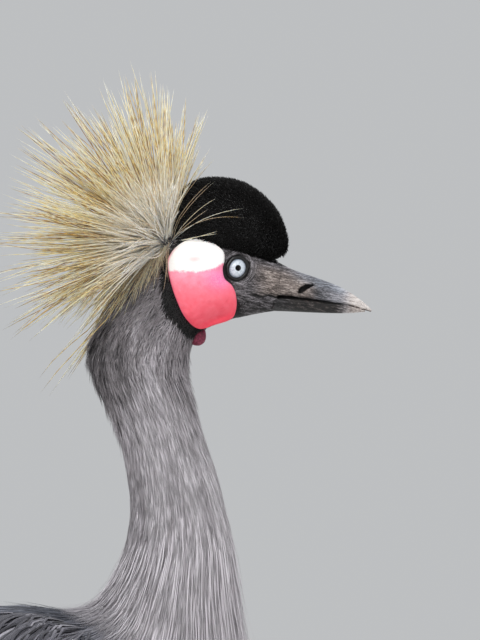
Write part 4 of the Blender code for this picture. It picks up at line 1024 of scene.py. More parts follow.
def cheeks(head_tree):
    """The puffed bare patches: rings of their outline, smaller towards the middle."""
    material = cheek_material()
    corners = np.array(CHEEK_OUTLINE, float)
    count = len(corners)
    places = np.linspace(0, count, 108, endpoint=False)
    i = np.floor(places).astype(int)
    f = (places - i)[:, None]
    a, b, c, d = (corners[(i + k) % count] for k in (-1, 0, 1, 2))
    cubic = (2 * a - 5 * b + 4 * c - d) * f**2 + (3 * b - a - 3 * c + d) * f**3
    outline = 0.5 * (2 * b + (c - a) * f + cubic)
    lobe = np.exp(-((outline[:, 0] + 12) / 7) ** 2 - ((outline[:, 1] - 8) / 5) ** 2)
    outline = outline + lobe[:, None] * (2.2, 1.2)
    scales = np.sin(np.linspace(math.pi / 2, 0.02, 44))
    flat = np.array(CHEEK_CENTRE) + (outline[None] - CHEEK_CENTRE) * scales[:, None, None]
    surface = np.empty(flat.shape[:2])
    for place in np.ndindex(surface.shape):
        x, z = flat[place]
        hit = side_hit(head_tree, x, z, LEFT)
        surface[place] = max(hit.y if hit else 0.0, CHEEK_LEAST_Y)
    x, z = flat[..., 0], flat[..., 1]
    share = scales[:, None] + 0 * x
    puff = CHEEK_PUFF * (1 - share**4) ** 0.6
    # A shallow crease parts the white lobe from the red one, and the red one sags a little.
    crease = 0.0007 * np.exp(-((z + 2.2 - 0.04 * (x + 22)) / 2.0) ** 2) * smooth(1.0, 0.8, share)
    sag = 0.0006 * np.exp(-((x + 18) / 12) ** 2 - ((z + 20) / 9) ** 2)
    dimple = 0.0004 * np.exp(-((x + 30 - 0.6 * (z + 24)) / 1.5) ** 2 - ((z + 24) / 5) ** 2)
    ear = 0.0006 * np.exp(-((x + 25.5) / 4.5) ** 2 - ((z - 5.0) / 1.6) ** 2)
    rise = 0.0008 + puff - crease + sag - ear - dimple
    rise = rise + 0.00010 * np.sin(x * 1.3 + 2 * np.sin(z * 0.5)) * np.sin(z * 1.1 + x * 0.3)
    # The head curves away under the red lobe; the lobe itself is evened out, so that no fold shows.
    for _ in range(14):
        surface = 0.5 * surface + 0.25 * (np.roll(surface, 1, 1) + np.roll(surface, -1, 1))
        surface[1:-1] = 0.5 * surface[1:-1] + 0.25 * (surface[:-2] + surface[2:])
    outer = np.stack((EYE_X + x * MM, surface + rise, EYE_HEIGHT + z * MM), axis=-1)
    inner = outer[:1] - (0, 0.0035, 0)
    points = np.concatenate((inner, outer))
    mesh = grid_mesh(points)
    border = np.interp(x, (-42, -25, -16, -11, -5), (-1.9, -2.4, -0.9, 1.7, 4.0))
    widen = lambda v: np.append(np.concatenate((v[:1], v)).ravel(), (v[0, 0], v[-1, 0]))
    mesh[2].update(
        level=widen(z - border), mark=widen(np.exp(-((x + 25.5) / 4.8) ** 2 - ((z - 5.2) / 1.8) ** 2) * 0.8),
        pink=widen(np.exp(-((x + 10.5) / 8.5) ** 2 - ((z + 6.0) / 6.5) ** 2) * 0.95),
        rim=widen(smooth(0.93, 1.0, share) * smooth(-24, -34, x) * smooth(16, 4, z) * 0.75),
    )
    for side, name in ((LEFT, "left"), (RIGHT, "right")):
        form = mesh if side == LEFT else mirror(mesh)
        piece("cheek_patch_" + name, form, material, ("cheek_" + name,))


def wattle():
    """Two soft lobes with a crease between them, hanging at the throat."""
    down, around = round_grid(np.linspace(0.02, math.pi - 0.02, 48), 64)
    radial = np.stack((np.sin(down) * np.cos(around), np.sin(down) * np.sin(around), np.cos(down)), axis=-1)
    size = np.array((0.0058, 0.0056, 0.0062))
    crease = 1 - 0.22 * np.exp(-(radial[..., 1] / 0.20) ** 2) * smooth(0.6, -0.2, radial[..., 2])
    bumps = 1 + 0.02 * np.sin(2 * around + 3 * down)
    points = spot(-24.2, -40.6) + radial * size * (crease * bumps)[..., None]
    piece("wattle_lobes", grid_mesh(points), wattle_material(), ("wattle",))


def plume_piece(name, loft, t, turn, draw, material, length, half_width, lifts, tone_fn, steps=4, drift=0.06,
                height=None, rise=1.0, spread=0.06, ripple=0.07, dark_share=(0.08, 0.16),
                body_last=28):
    """A coat of hairs or plumes rooted at places of a loft; drift is how far they stray sideways."""
    count = len(t)
    drift = draw.normal(0, drift, count)
    paths, normals = lay(loft, t, turn, length, lifts[0], lifts[1], drift, steps, rise)
    s = np.linspace(0, 1, steps)
    width = np.reshape(half_width, (-1, 1)) * lance(s)
    tall = width * 0.55 if height is None else height * lance(s)
    rand = draw.random(count)
    tone, cool = tone_fn(paths[:, steps // 2], t, turn)
    ripples = waves(turn * 9, t * 0.6, 1) + waves(turn * 24, t * 0.8, 2)
    tone = tone + ripple * np.clip(tone * 3, 0, 1) * ripples
    tone = tone - dark_share[1] * (draw.random(count) < dark_share[0]) * np.clip(tone * 3, 0, 1)
    own = 3 * (steps - 1) + 1
    along = np.append(np.repeat(np.arange(steps - 1), 3), steps - 1) / (steps - 1)
    shade = tone[:, None] + spread * (rand[:, None] * 2 - 1) * np.clip(tone[:, None] * 3, 0, 1)
    # Each plume is painted darker towards its root and a little lighter at its tip: painted shade where the
    # coat covers its own roots.
    shade = shade + np.clip(tone, 0, 0.3)[:, None] * (0.30 * along - 0.20)[None]
    mesh = strands(paths, normals, width, tall, root_uv=(turn / TAU + 0.5, t / (body_last + 1)),
                   rand=rand, tone=shade.reshape(count, own), cool=cool)
    piece(name, mesh, material, ())


def head_and_neck_coat(material, cap_tree):
    draw = np.random.default_rng(3)
    # Short feathers of the head, from the black band round the cheeks to the throat.
    t, turn = scatter(BODY, COUNTS["head"], (1.4, 9.3), draw,
                      weight=lambda t, turn: smooth(1.4, 3.5, t) * smooth(9.6, 8.6, t))
    roots = BODY.point(t, turn)
    x, z = side_view(roots)
    flank = np.abs(roots[:, 1]) > 0.010
    bare = inside_outline(x, z, CHEEK_OUTLINE, CHEEK_CENTRE, 0.95) & flank
    bare |= (np.hypot(x, z) < 9.4) & flank
    bare |= (x > -6) & (z > -18) & (draw.random(len(x)) < 0.75)
    bare |= signed(cap_tree, roots)[0] < -0.002
    t, turn, x, z = t[~bare], turn[~bare], x[~bare], z[~bare]
    black = black_share(x - 3, z)
    face = smooth(-8, -2, x)
    length = np.interp(t, (1.4, 3, 5, 7, 9), (0.0018, 0.0028, 0.0055, 0.0090, 0.0150))
    length = length * draw.uniform(0.7, 1.2, len(t))
    length = length * (1 - 0.45 * black) * (1 - 0.35 * face)
    top = draw.uniform(-0.0006, 0.0007, len(t)) * (1 - 0.6 * face)
    top = top + 0.0030 * smooth(0.75, 0.98, -np.cos(turn)) * smooth(6.8, 7.8, t) * draw.random(len(t))
    plume_piece("head_feathers", BODY, t, turn, draw, material, length, 0.00028 - 0.00014 * face,
                (-coat_depth(t) - 0.0003, top), base_tone, drift=0.07)
    # Hair-like feathers of the upper neck, in looser dark clumps along the nape.
    t, turn = scatter(BODY, COUNTS["neck_high"], (8.0, 13.0), draw)
    nape = smooth(0.45, 0.9, np.cos(turn)) * smooth(12.8, 11.0, t)
    clump = np.clip(waves(turn * 8, t * 4.0, 5), 0, 1)
    length = np.interp(t, (8, 13), (0.022, 0.036)) * draw.uniform(0.75, 1.25, len(t)) * (1 - 0.35 * nape)
    throat = smooth(0.75, 0.98, -np.cos(turn)) * smooth(9.8, 8.6, t)
    top = draw.uniform(-0.0009, 0.0005, len(t)) + 0.0052 * nape * clump
    top = top + 0.0026 * throat * draw.random(len(t))
    streak = smooth(0.35, 0.6, -np.cos(turn)) * smooth(0.98, 0.85, -np.cos(turn)) * smooth(12.6, 11.6, t)
    plume_piece("neck_feathers_high", BODY, t, turn, draw, material, length,
                draw.uniform(0.00024, 0.00039, len(t)),
                (-coat_depth(t) - 0.0003, top), base_tone, drift=0.05, ripple=0.10,
                dark_share=(0.08 + 0.16 * streak, 0.22))
    t, turn = scatter(BODY, COUNTS["neck_middle"], (12.0, 15.8), draw)
    length = np.interp(t, (12.0, 15.8), (0.036, 0.056)) * draw.uniform(0.75, 1.3, len(t))
    top = draw.uniform(-0.0010, 0.0006, len(t))
    plume_piece("neck_feathers_middle", BODY, t, turn, draw, material, length,
                draw.uniform(0.00026, 0.00043, len(t)),
                (-coat_depth(t) - 0.0003, top), base_tone, drift=0.028, ripple=0.10)
    # Long fine plumes at the base of the neck, which hang over the breast and the shoulders.
    for name, span in (("neck_feathers_low", (14.6, 17.2)), ("neck_feathers_base", (16.8, 20.0))):
        t, turn = scatter(BODY, COUNTS["neck_low"], span, draw)
        front = smooth(0.3, 1.0, -np.cos(turn))
        back = smooth(0.1, 0.7, np.cos(turn)) * smooth(15.4, 17.4, t)
        length = np.interp(t, (14.6, 17, 20), (0.056, 0.074, 0.070)) * draw.uniform(0.75, 1.25, len(t))
        length = length * (1 + 0.15 * front) * (1 - 0.52 * back)
        loose = (draw.random(len(t)) < 0.10 + 0.12 * front) * draw.random(len(t))
        top = draw.uniform(-0.0012, 0.0010, len(t)) + 0.0050 * loose
        top = top - 0.0024 * smooth(0.2, 0.8, np.cos(turn)) * smooth(17, 19, t)
        plume_piece(name, BODY, t, turn, draw, material, length, draw.uniform(0.00030, 0.00056, len(t)),
                    (-coat_depth(t) - 0.0004, top), base_tone, drift=0.028, ripple=0.05,
                    height=0.00017, spread=0.035)
    # A few long ones stand off the front of the neck.
    count = COUNTS["loose"]
    t, turn = draw.uniform(14.6, 17.4, count), math.pi + draw.normal(0, 0.32, count)
    plume_piece("neck_feathers_loose", BODY, t, turn, draw, material, draw.uniform(0.075, 0.110, count),
                draw.uniform(0.00030, 0.00050, count), (-0.0022, draw.uniform(0.0025, 0.0090, count)),
                base_tone, steps=8,
                drift=0.04, rise=1.6)


def body_coat(material):
    draw = np.random.default_rng(4)

    def open_share(t, turn):
        """Few plumes grow below the folded wings."""
        degrees = np.degrees(np.abs(turn))
        under_wing = smooth(40, 50, degrees) * smooth(112, 100, degrees) * smooth(20.6, 21.4, t)
        return 1 - 0.85 * under_wing

    for name, turns in (("back_feathers", (-1.25, 1.25)), ("breast_feathers", (1.25, TAU - 1.25))):
        t, turn = scatter(BODY, COUNTS["body"], (18.8, 28.0), draw, turns, open_share)
        length = np.interp(t, (18.8, 21, 25, 28), (0.056, 0.052, 0.048, 0.040))
        length = length * draw.uniform(0.75, 1.25, len(t))
        top = draw.uniform(-0.0040, -0.0006, len(t)) + 0.0030 * smooth(0.3, -0.4, np.cos(turn))
        turn = (turn + math.pi) % TAU - math.pi
        plume_piece(name, BODY, t, turn, draw, material, length, draw.uniform(0.0013, 0.0024, len(t)),
                    (-coat_depth(t) - 0.0005, top), base_tone, spread=0.16)
    thigh_tone = lambda points, t, turn: (np.full(len(t), 0.30), np.ones(len(t)))
    for side, name in SIDES:
        thigh = leg_loft(THIGH_ROWS, side)
        t, turn = scatter(thigh, COUNTS["thigh"], (0.2, 4.75), draw)
        length = np.interp(t, (0, 3, 5), (0.026, 0.018, 0.009)) * draw.uniform(0.7, 1.2, len(t))
        plume_piece("thigh_feathers_" + name, thigh, t, turn, draw, material, length,
                    draw.uniform(0.0007, 0.0013, len(t)),
                    (-0.0028, draw.uniform(-0.0008, 0.0012, len(t))), thigh_tone,
                    body_last=5)


def black_pile(name, draw, material, root, normal, heading, length, curl, widths, thick, root_uv):
    """Short black hairs that stand on a form and curl a little at the tip."""
    s = np.array((0, 0.55, 1.0))
    paths = root[:, None] + heading[:, None] * (length[:, None] * s)[..., None]
    paths = paths + curl[:, None] * (s**2)[:, None]
    width = draw.uniform(*widths, len(root))[:, None] * np.array((1.0, 0.85, 0.0))
    mesh = strands(paths, np.broadcast_to(normal[:, None], paths.shape), width, width * thick,
                   root_uv=root_uv, rand=draw.random(len(root)))
    piece(name, mesh, material, ())


def cap(head_tree):
    """The domed cap of black plush: a core and short thick pile."""
    draw = np.random.default_rng(5)
    material = velvet_material()
    t, turn = round_grid(np.linspace(0, 10, 60), 72)
    core = grid_mesh(CAP.point(t, turn, -0.0030))
    # The core under the pile is painted as dark as the pile low down: painted shade.
    set_fields(core, rand=0.3, along=0.2)
    piece("cap_core", core, material, ("cap",))
    t, turn = scatter(CAP, COUNTS["cap"], (0.02, 10.0), draw, (-2.5, 2.5))
    roots = CAP.point(t, turn, -0.0030)
    clear = signed(head_tree, roots)[0] > -0.0022
    t, turn = t[clear], turn[clear]
    count = len(t)
    length = draw.uniform(0.0024, 0.0040, count)
    with_t, with_turn, normal = CAP.frame(t, turn)
    lean = unit(with_t) * 0.75 + unit(with_turn) * draw.normal(0, 0.3, count)[:, None]
    heading = unit(normal * draw.uniform(0.7, 1.1, count)[:, None] + lean)
    curl = np.cross(heading, normal) * draw.normal(0, 0.0004, count)[:, None]
    root = CAP.point(t, turn, -0.0032)
    black_pile("cap_pile", draw, material, root, normal, heading, length, curl,
               (0.00035, 0.00054), 0.9, (turn / TAU + 0.5, t / 11))
    # The forehead's short black feathers, which close the cap against the face and the bill.
    t, turn = scatter(BODY, COUNTS["brow"], (0.0, 2.6), draw, (-1.7, 1.7))
    root = BODY.point(t, turn, -0.0005)
    x, z = side_view(root)
    edge = np.interp(x, (-3, 3, 7.5, 13.5, 18, 22), (8.9, 7.8, 6.3, 4.4, 2.6, 1.4)) + 1.8
    keep = (z > edge) & (x > -9) & (x < 21.8)
    t, turn, root = t[keep], turn[keep], root[keep]
    count = len(t)
    normal = BODY.frame(t, turn)[2]
    down = (draw.uniform(0.2, 0.9, count), draw.normal(0, 0.15, count), -draw.uniform(0.4, 1.0, count))
    down = unit(np.stack(down, axis=-1))
    heading = normal * draw.uniform(0.25, 0.55, count)[:, None] + down
    heading = unit(heading - normal * dot(down, normal)[:, None])
    length = draw.uniform(0.0020, 0.0034, count)
    black_pile("brow_velvet", draw, material, root, normal, heading, length, 0 * heading,
               (0.00024, 0.00038), 0.8, (turn / TAU + 0.5, t / 29))


def crest_paths(draw, cap_tree, head_tree):
    """Straight bristles in pointed clumps that radiate from the hind crown over a wide cone."""
    axis = np.array((math.cos(math.radians(CREST_AXIS_DEGREES)), 0,
                     math.sin(math.radians(CREST_AXIS_DEGREES))))
    beside = np.array((0, 1.0, 0))
    above = np.cross(beside, axis)
    clumps, steps = COUNTS["clumps"], 9
    least = math.cos(math.radians(CREST_HALF_SPREAD_DEGREES))
    k = np.arange(clumps)
    along = 1 - (1 - least) * (k + 0.5) / clumps
    out = np.sqrt(1 - along**2)
    spin = math.pi * (3 - math.sqrt(5)) * k
    heading = axis * along[:, None] + beside * (out * np.cos(spin))[:, None]
    heading = heading + above * (out * np.sin(spin))[:, None]
    heading[:, 1] *= np.abs(heading[:, 1]) ** 0.3
    heading = unit(heading + draw.normal(0, 0.04, heading.shape))
    members = draw.integers(3, 8, clumps)
    clump = np.repeat(k, members)
    count = len(clump)
    lead = heading[clump]
    own = unit(lead + draw.normal(0, 0.085, lead.shape))
    angle = np.degrees(np.arctan2(lead[:, 2], lead[:, 0])) % 360
    length = CREST_LENGTH * (1 - 0.14 * np.abs(lead[:, 1])) * (1 - 0.20 * smooth(102, 78, angle))
    length = 1.07 * length * draw.uniform(0.78, 1.0, clumps)[clump] * (1 - 0.26 * draw.random(count) ** 1.6)
    down = draw.random(count) < 0.24
    length = np.where(down, length * draw.uniform(0.22, 0.50, count), length)
    centre = spot(*CREST_CENTRE)
    # Each bristle leaves the head where its own direction passes out of it.
    reach = np.full(count, 0.0030)
    for tree in (head_tree, cap_tree):
        for i, way in enumerate(own):
            hit = tree.ray_cast(Vector(centre + way * 0.045), Vector(-way), 0.045)[0]
            if hit:
                reach[i] = max(reach[i], np.linalg.norm(np.array(hit) - centre) + 0.0004)
    keep = reach < 0.017
    kept = (clump, lead, own, length, reach, angle, down)
    clump, lead, own, length, reach, angle, down = (v[keep] for v in kept)
    count = len(clump)
    start = centre + own * (reach - 0.0012)[:, None]
    sag = 0.020 + 0.10 * smooth(190, 235, angle)
    bend = draw.normal(0, 0.022, (clumps, 3))[clump] + draw.normal(0, 0.012, (count, 3))
    bend[:, 2] -= sag
    fray = draw.normal(0, 0.016, (count, 3))
    kink = draw.normal(0, 0.006, (count, 3))
    s = np.linspace(0, 1, steps)[None, :, None]
    pull = (own - lead)[:, None] * (s * (1 - smooth(0.0, 1.0, s))) + fray[:, None] * s**2
    wander = kink[:, None] * np.sin(s * 7 + np.arange(count)[:, None, None])
    run = (length - reach)[:, None, None]
    paths = start[:, None] + run * (lead[:, None] * s + pull + bend[:, None] * s**2 + wander * s)
    pale = down_strands(head_tree, draw, steps)
    loose = np.concatenate((loose_strands(cap_tree, draw, steps), nape_strands(head_tree, draw, steps)))
    brown = cheek_strands(head_tree, draw, steps)
    kinds = np.concatenate((np.where(down, 1, 0), np.full(len(pale), 1), np.full(len(loose), 2),
                            np.full(len(brown), 3)))
    return np.concatenate((paths, pale, loose, brown)), kinds


def down_strands(head_tree, draw, steps):
    """Short pale bristles that fill the root of the fan on each side."""
    found = []
    for side in (RIGHT, LEFT):
        for _ in range(COUNTS["down"]):
            angle = math.radians(draw.uniform(80, 218))
            aside = draw.uniform(0.35, 1.05)
            way = unit(np.array((math.cos(angle), side * aside, math.sin(angle))))
            base = np.array(CREST_CENTRE) + draw.uniform(1.0, 4.0) * way[[0, 2]]
            hit = side_hit(head_tree, *base, side)
            y = abs(hit.y) * draw.uniform(0.5, 1.0) if hit else draw.uniform(0.0, 0.008)
            start = spot(*base, side * y)
            length = draw.uniform(0.018, 0.046)
            bend = draw.normal(0, 0.10, 3)
            found.append([start + length * (way * k + bend * k * k) for k in np.linspace(0, 1, steps)])
    return np.array(found)


def side_curves(tree, curves, side, rise, steps, least=0.012):
    """Lines drawn as arcs in side view and laid on the camera's or the far side of a form."""
    found = []
    for a, b, c in curves:
        line = []
        for s in np.linspace(0, 1, steps):
            x, z = a * (1 - s) ** 2 + 2 * b * s * (1 - s) + c * s * s
            hit = side_hit(tree, x, z, side, 0.08)
            line.append([x, max(abs(hit.y), least) if hit else np.nan, z])
        line = np.array(line)
        level, known = line[:, 1], ~np.isnan(line[:, 1])
        if not known.any():
            continue
        places = np.arange(steps)
        level = np.interp(places, places[known], level[known])
        lift = rise[0] + (rise[1] - rise[0]) * np.linspace(0, 1, steps)
        found.append([spot(x, z, side * (y + up)) for (x, _, z), y, up in zip(line, level, lift)])
    return found


def loose_strands(cap_tree, draw, steps):
    """The thin bristles that curve forward over the cap and rise behind it, on each side."""
    curves = (
        ((-39.5, 18.0), (-36.0, 35.0), (-15.5, 52.0), 2), ((-39.0, 17.0), (-27.0, 34.0), (-12.5, 41.5), 1),
        ((-39.5, 16.0), (-22.0, 33.0), (4.5, 35.5), 2), ((-38.5, 15.5), (-24.0, 19.0), (-11.0, 19.8), 2),
        ((-40.0, 19.0), (-39.0, 40.0), (-18.3, 68.0), 5), ((-39.0, 17.5), (-30.0, 27.0), (-18.0, 35.0), 1),
        ((-40.5, 19.0), (-37.0, 52.0), (-20.0, 92.0), 6), ((-41.0, 19.0), (-36.0, 55.0), (-24.0, 97.0), 5),
        ((-41.0, 19.0), (-37.0, 45.0), (-32.0, 80.0), 6), ((-41.0, 19.0), (-36.0, 42.0), (-22.0, 74.0), 4),
    )
    found = []
    for side in (RIGHT, LEFT):
        bent = []
        for a, b, c, number in curves:
            for k in range(number):
                stray = min(k, 1) * 2.2 + 0.3
                bent.append(tuple(np.array(point) + draw.normal(0, stray * share, 2)
                                  for point, share in ((a, 0.3), (b, 0.8), (c, 1.4))))
        found += side_curves(cap_tree, bent, side, (0.0012, 0.0022), steps)
    return np.array(found)


def nape_strands(head_tree, draw, steps):
    """Shorter bristles that droop from the root over the nape and the side of the neck."""
    found = []
    for side in (RIGHT, LEFT):
        bent = []
        for _ in range(COUNTS["nape"]):
            angle = math.radians(204 + 54 * draw.random() ** 1.1)
            length = draw.uniform(30, 82) * (1 - 0.70 * smooth(220, 256, math.degrees(angle)))
            a = np.array(CREST_CENTRE) + draw.normal(0, 1.1, 2)
            c = a + length * np.array((math.cos(angle), math.sin(angle)))
            b = (a + c) / 2 + np.array((-0.10, 0.08)) * length + draw.normal(0, 0.07 * length, 2)
            bent.append((a, b, c))
        found += side_curves(head_tree, bent, side, (0.0008, 0.0040), steps, 0.009)
    return np.array(found)


def cheek_strands(head_tree, draw, steps):
    """Short bristles that curl down from the root behind the cheek."""
    found = []
    for side in (RIGHT, LEFT):
        bent = []
        for _ in range(COUNTS["cheek"]):
            a = np.array((-42.0, 12.0)) + draw.normal(0, 1.4, 2)
            c = np.array((draw.uniform(-50, -36.8), draw.uniform(-15, 2)))
            bent.append((a, (a + c) / 2 + (draw.uniform(-4.0, 1.0), draw.uniform(-1, 3)), c))
        found += side_curves(head_tree, bent, side, (0.0012, 0.0014), steps)
    return np.array(found)


def crest_uv(way):
    """Place on the bake map of a bristle that points a given way."""
    return np.arctan2(way[:, 2], way[:, 0]) / TAU + 0.5, way[:, 1] * 0.4 + 0.5


def crest(cap_tree, head_tree, material):
    draw = np.random.default_rng(6)
    paths, kinds = crest_paths(draw, cap_tree, head_tree)
    total, steps, _ = paths.shape
    s = np.linspace(0, 1, steps)
    for tree, room in ((cap_tree, 0.0012), (head_tree, 0.0010)):
        flat = paths.reshape(-1, 3)
        away, normals = signed(tree, flat)
        push = np.clip(room - away, 0, 0.02) * (np.abs(away) < 0.02)
        move = (normals * push[:, None]).reshape(paths.shape)
        paths += move * smooth(0.08, 0.35, s)[None, :, None]
    downy, loose, brown = kinds == 1, kinds >= 2, kinds == 3
    radius = np.where(loose, 0.00022, draw.uniform(0.00030, 0.00042, total)) + 0.00014 * downy
    radius = radius[:, None] * np.where(downy[:, None], 1.7 - 1.2 * s, 1.1 - 0.55 * s**2)
    facing = np.broadcast_to(np.array((0.2, -1.0, 0.3)), paths.shape)
    lead = unit(paths[:, 3] - spot(*CREST_CENTRE))
    # Most bristles are cream and the rest brown: partly their own colours, partly painted highlight and
    # painted shade that set the bristles apart.
    cream = draw.random(total) < 0.62
    tone = np.where(cream, draw.uniform(0.55, 0.95, total), draw.uniform(-0.15, 0.25, total))
    tone = np.where(downy, draw.uniform(0.45, 0.95, total), tone) - 0.08 * loose
    # Seen from the side the fan is painted cream round its root, whichever way its bristles point: partly the
    # pale down's own colour, partly painted light that lifts the shade among the dense bristles there.
    ahead = paths[..., 0] - EYE_X - CREST_CENTRE[0] * MM
    above = paths[..., 2] - EYE_HEIGHT - CREST_CENTRE[1] * MM
    far = np.hypot(ahead, above)
    pale = np.maximum(smooth(0.052, 0.022, far) * np.where(loose, 0.3, 1.0)[:, None], 0.9 * downy[:, None])
    pale = np.concatenate((np.repeat(pale[:, :-1], 3, axis=1), pale[:, -1:]), axis=1)
    mesh = strands(paths, facing, radius, radius, ROUND, crest_uv(lead),
                   rand=draw.random(total), tone=tone, dull=brown * 1.0, pale=pale)
    piece("crest_bristles", mesh, crest_material(), ("crest",))
    # The small grey tuft that the bristles grow from, on both sides of the head.
    lines, leads = [], []
    for side in (RIGHT, LEFT):
        for _ in range(COUNTS["tuft"]):
            x, z = np.array(CREST_CENTRE) + draw.normal(0, 1.0, 2) * (1.9, 2.8)
            hit = side_hit(head_tree, x, z, side)
            if not hit:
                continue
            root = np.array(hit) - (0, 0.0008 * side, 0)
            out = unit(np.array((x - CREST_CENTRE[0] + draw.normal(0, 1.5), side * 2.6,
                                 z - CREST_CENTRE[1] + draw.normal(0, 1.5))))
            length = draw.uniform(0.0028, 0.0060)
            lines.append([root + out * length * k + np.array((0, 0, -0.0010)) * k * k for k in (0, 0.5, 1.0)])
            leads.append(out)
    lines, leads = np.array(lines), np.array(leads)
    number = len(lines)
    width = np.full((number, 1), 0.00030) * np.array((1, 0.8, 0))
    tuft = strands(lines, np.broadcast_to((0.1, -1.0, 0.2), lines.shape), width, width, ROUND,
                   crest_uv(leads),
                   rand=draw.random(number), tone=draw.uniform(0.14, 0.50, number), cool=np.zeros(number))
    piece("crest_root", tuft, material, ())


def wings():
    """Right wing in tiers of feathers, and its mirror image."""
    draw = np.random.default_rng(7)
    white = vane_material("white_covert", (
        (0.1, (168, 160, 148)), (0.4, (222, 216, 206)), (0.7, (243, 240, 233)),
        (1.0, (253, 252, 249))), 0.6, 0.15)
    gold = vane_material("straw_plume", (
        (0.0, (140, 108, 58)), (0.4, (206, 176, 120)), (0.75, (236, 216, 170)),
        (1.0, (250, 238, 210))), 0.55, 0.1)
    chestnut = vane_material("chestnut_flight", (
        (0.0, (34, 12, 8)), (0.4, (84, 34, 22)), (0.7, (122, 56, 36)), (1.0, (156, 84, 56))), 0.5, 0.05)
    top_edge, low_edge = (lambda u: -46 - 1 * u), (lambda u: -119 + 22 * u)
    starts, ends, lifts, widths, tones = [], [], [], [], []
    for row, start in enumerate(np.linspace(0.78, 4.25, 9)):
        u = (start - 0.7) / 4.7
        number = 12 - row // 3
        for k in range(number):
            share = (k + 0.5 * (row % 2) + 0.25) / number
            turn = top_edge(u) + (low_edge(u) - top_edge(u)) * share + draw.normal(0, 0.8)
            reach = 1.15 + 0.07 * row + draw.normal(0, 0.05)
            starts.append((start + draw.normal(0, 0.04), turn))
            ends.append((start + reach, turn * (1 - 0.01 * row) + 1.5))
            lifts.append(np.array((0.0008, 0.0026, 0.0040, 0.0052)) + 0.0001 * row + draw.normal(0, 0.0002))
            widths.append(0.0076 + 0.00045 * row)
            tones.append(0.62 + draw.normal(0, 0.05))
    coverts = vanes(WING_BED, starts, ends, lifts, widths, 0.0007, steps=11, draw=draw, tone=np.array(tones))
    t, turn = np.meshgrid(np.linspace(0.7, 5.4, 40), np.linspace(0, 1, 30), indexing="ij")
    low, high = np.radians(low_edge((t - 0.7) / 4.7)), np.radians(top_edge((t - 0.7) / 4.7))
    bed = pad(WING_BED, t, low + (high - low) * turn, -0.0030, 0.0012)
    set_fields(bed, tone=0.5, rand=0.5)
    # The flight feathers: secondaries that hang past the tail, with primaries below them.
    count = 12
    share = np.linspace(0, 1, count)
    pile = 0.0006 * (count - 1 - np.arange(count))
    zero = np.zeros(count)
    secondaries = vanes(
        WING_BED, np.stack((5.2 + 0.5 * share, -21 - 66 * share), axis=-1),
        np.stack((10.95 - 0.85 * share + draw.normal(0, 0.08, count), -30 - 58 * share), axis=-1),
        np.stack((zero + 0.0012, 0.0022 + 0.2 * pile, 0.0026 + 0.5 * pile, 0.0024 + 0.8 * pile,
                  0.0020 + pile), axis=-1),
        0.0108, 0.0012, steps=18, draw=draw, tone=0.45 + draw.normal(0, 0.08, count))
    count = 7
    share = np.linspace(0, 1, count)
    zero = np.zeros(count)
    primaries = vanes(
        WING_BED, np.stack((5.4 + 0.4 * share, -74 - 20 * share), axis=-1),
        np.stack((10.6 - 0.5 * share, -94 - 18 * share), axis=-1),
        np.stack((zero + 0.0010, zero + 0.0003, zero - 0.0008, -0.0004 * (1 + np.arange(count))), axis=-1),
        0.0085, 0.0010, steps=16, draw=draw, tone=0.05 + draw.normal(0, 0.03, count))
    # Golden plumes that grow above the white panel and hang over its hind part.
    count = 64
    share = (np.arange(count) + 0.5) / count
    layer = np.arange(count) % 3
    fall = draw.uniform(0, 1, count)
    start = np.stack((2.7 + 2.0 * share, -30 - 8 * draw.random(count)), axis=-1)
    end = np.stack((start[:, 0] + 1.9 + 0.9 * draw.random(count), -54 - 34 * fall), axis=-1)
    height = 0.0076 + 0.0011 * layer
    plumes = vanes(WING_BED, start, end, np.stack((height - 0.003, height, height, height - 0.0012), axis=-1),
                   draw.uniform(0.0014, 0.0026, count), 0.0003, -5 + draw.normal(0, 3, count), steps=12,
                   columns=3,
                   profile=lance, draw=draw, tone=0.5 + draw.normal(0, 0.12, count))
    # Long slate plumes from the shoulder, which hide the upper edge of the white panel.
    scapulars = []
    for count, spread, wide, tint in ((270, (0.0, 1.7), (0.0007, 0.0013), 0.42),
                                      (200, (1.0, 4.1), (0.0014, 0.0027), 0.36)):
        place = spread[0] + (spread[1] - spread[0]) * draw.random(count)
        start = np.stack((place, -12 - 26 * draw.random(count)), axis=-1)
        end = np.stack((place + 1.0 + 0.5 * draw.random(count), start[:, 1] - 12 - 13 * draw.random(count)),
                       axis=-1)
        low = np.interp(-start[:, 1], (12, 20, 38), (-0.0046, -0.0028, 0.0040))
        low = low - 0.0080 * smooth(1.0, 0.2, place)
        high = np.interp(-end[:, 1], (24, 36, 50, 64), (-0.0030, 0.0004, 0.0060, 0.0072))
        high = high + 0.0010 * draw.random(count)
        heights = np.stack((low - 0.002, (low + high) / 2 - 0.0030 * smooth(1.0, 0.2, place), high,
                            high - 0.0004), axis=-1)
        scapulars.append(vanes(WING_BED, start, end, heights, draw.uniform(*wide, count), 0.0002,
                               -3 + draw.normal(0, 3, count),
                               steps=10, columns=3, profile=lance, draw=draw,
                               tone=tint + draw.normal(0, 0.16, count)))
    scapulars = merge(*scapulars)
    t, turn = np.meshgrid(np.linspace(2.4, 5.0, 24), np.radians(np.linspace(-40, -27, 8)), indexing="ij")
    root = pad(WING_BED, t, turn, -0.0030, 0.0068)
    set_fields(root, tone=0.35, rand=0.5)
    tiers = (
        ("wing_white_", merge(coverts, bed), white, "wing_coverts_", "white"),
        ("wing_chestnut_", secondaries, chestnut, "wing_flight_", "chestnut"),
        ("wing_black_", primaries, BLACK_VANE, None, "black"),
        ("wing_gold_", merge(plumes, root), gold, "wing_plumes_", "gold"),
        ("scapular_plumes_", scapulars, SCAPULAR_VANE, None, "slate"),
    )
    for side, name in SIDES:
        for title, mesh, material, node, slot in tiers:
            mesh = mesh if side == RIGHT else mirror(mesh)
            piece(title + name, mesh, material, (node + name,) if node else (), 50)


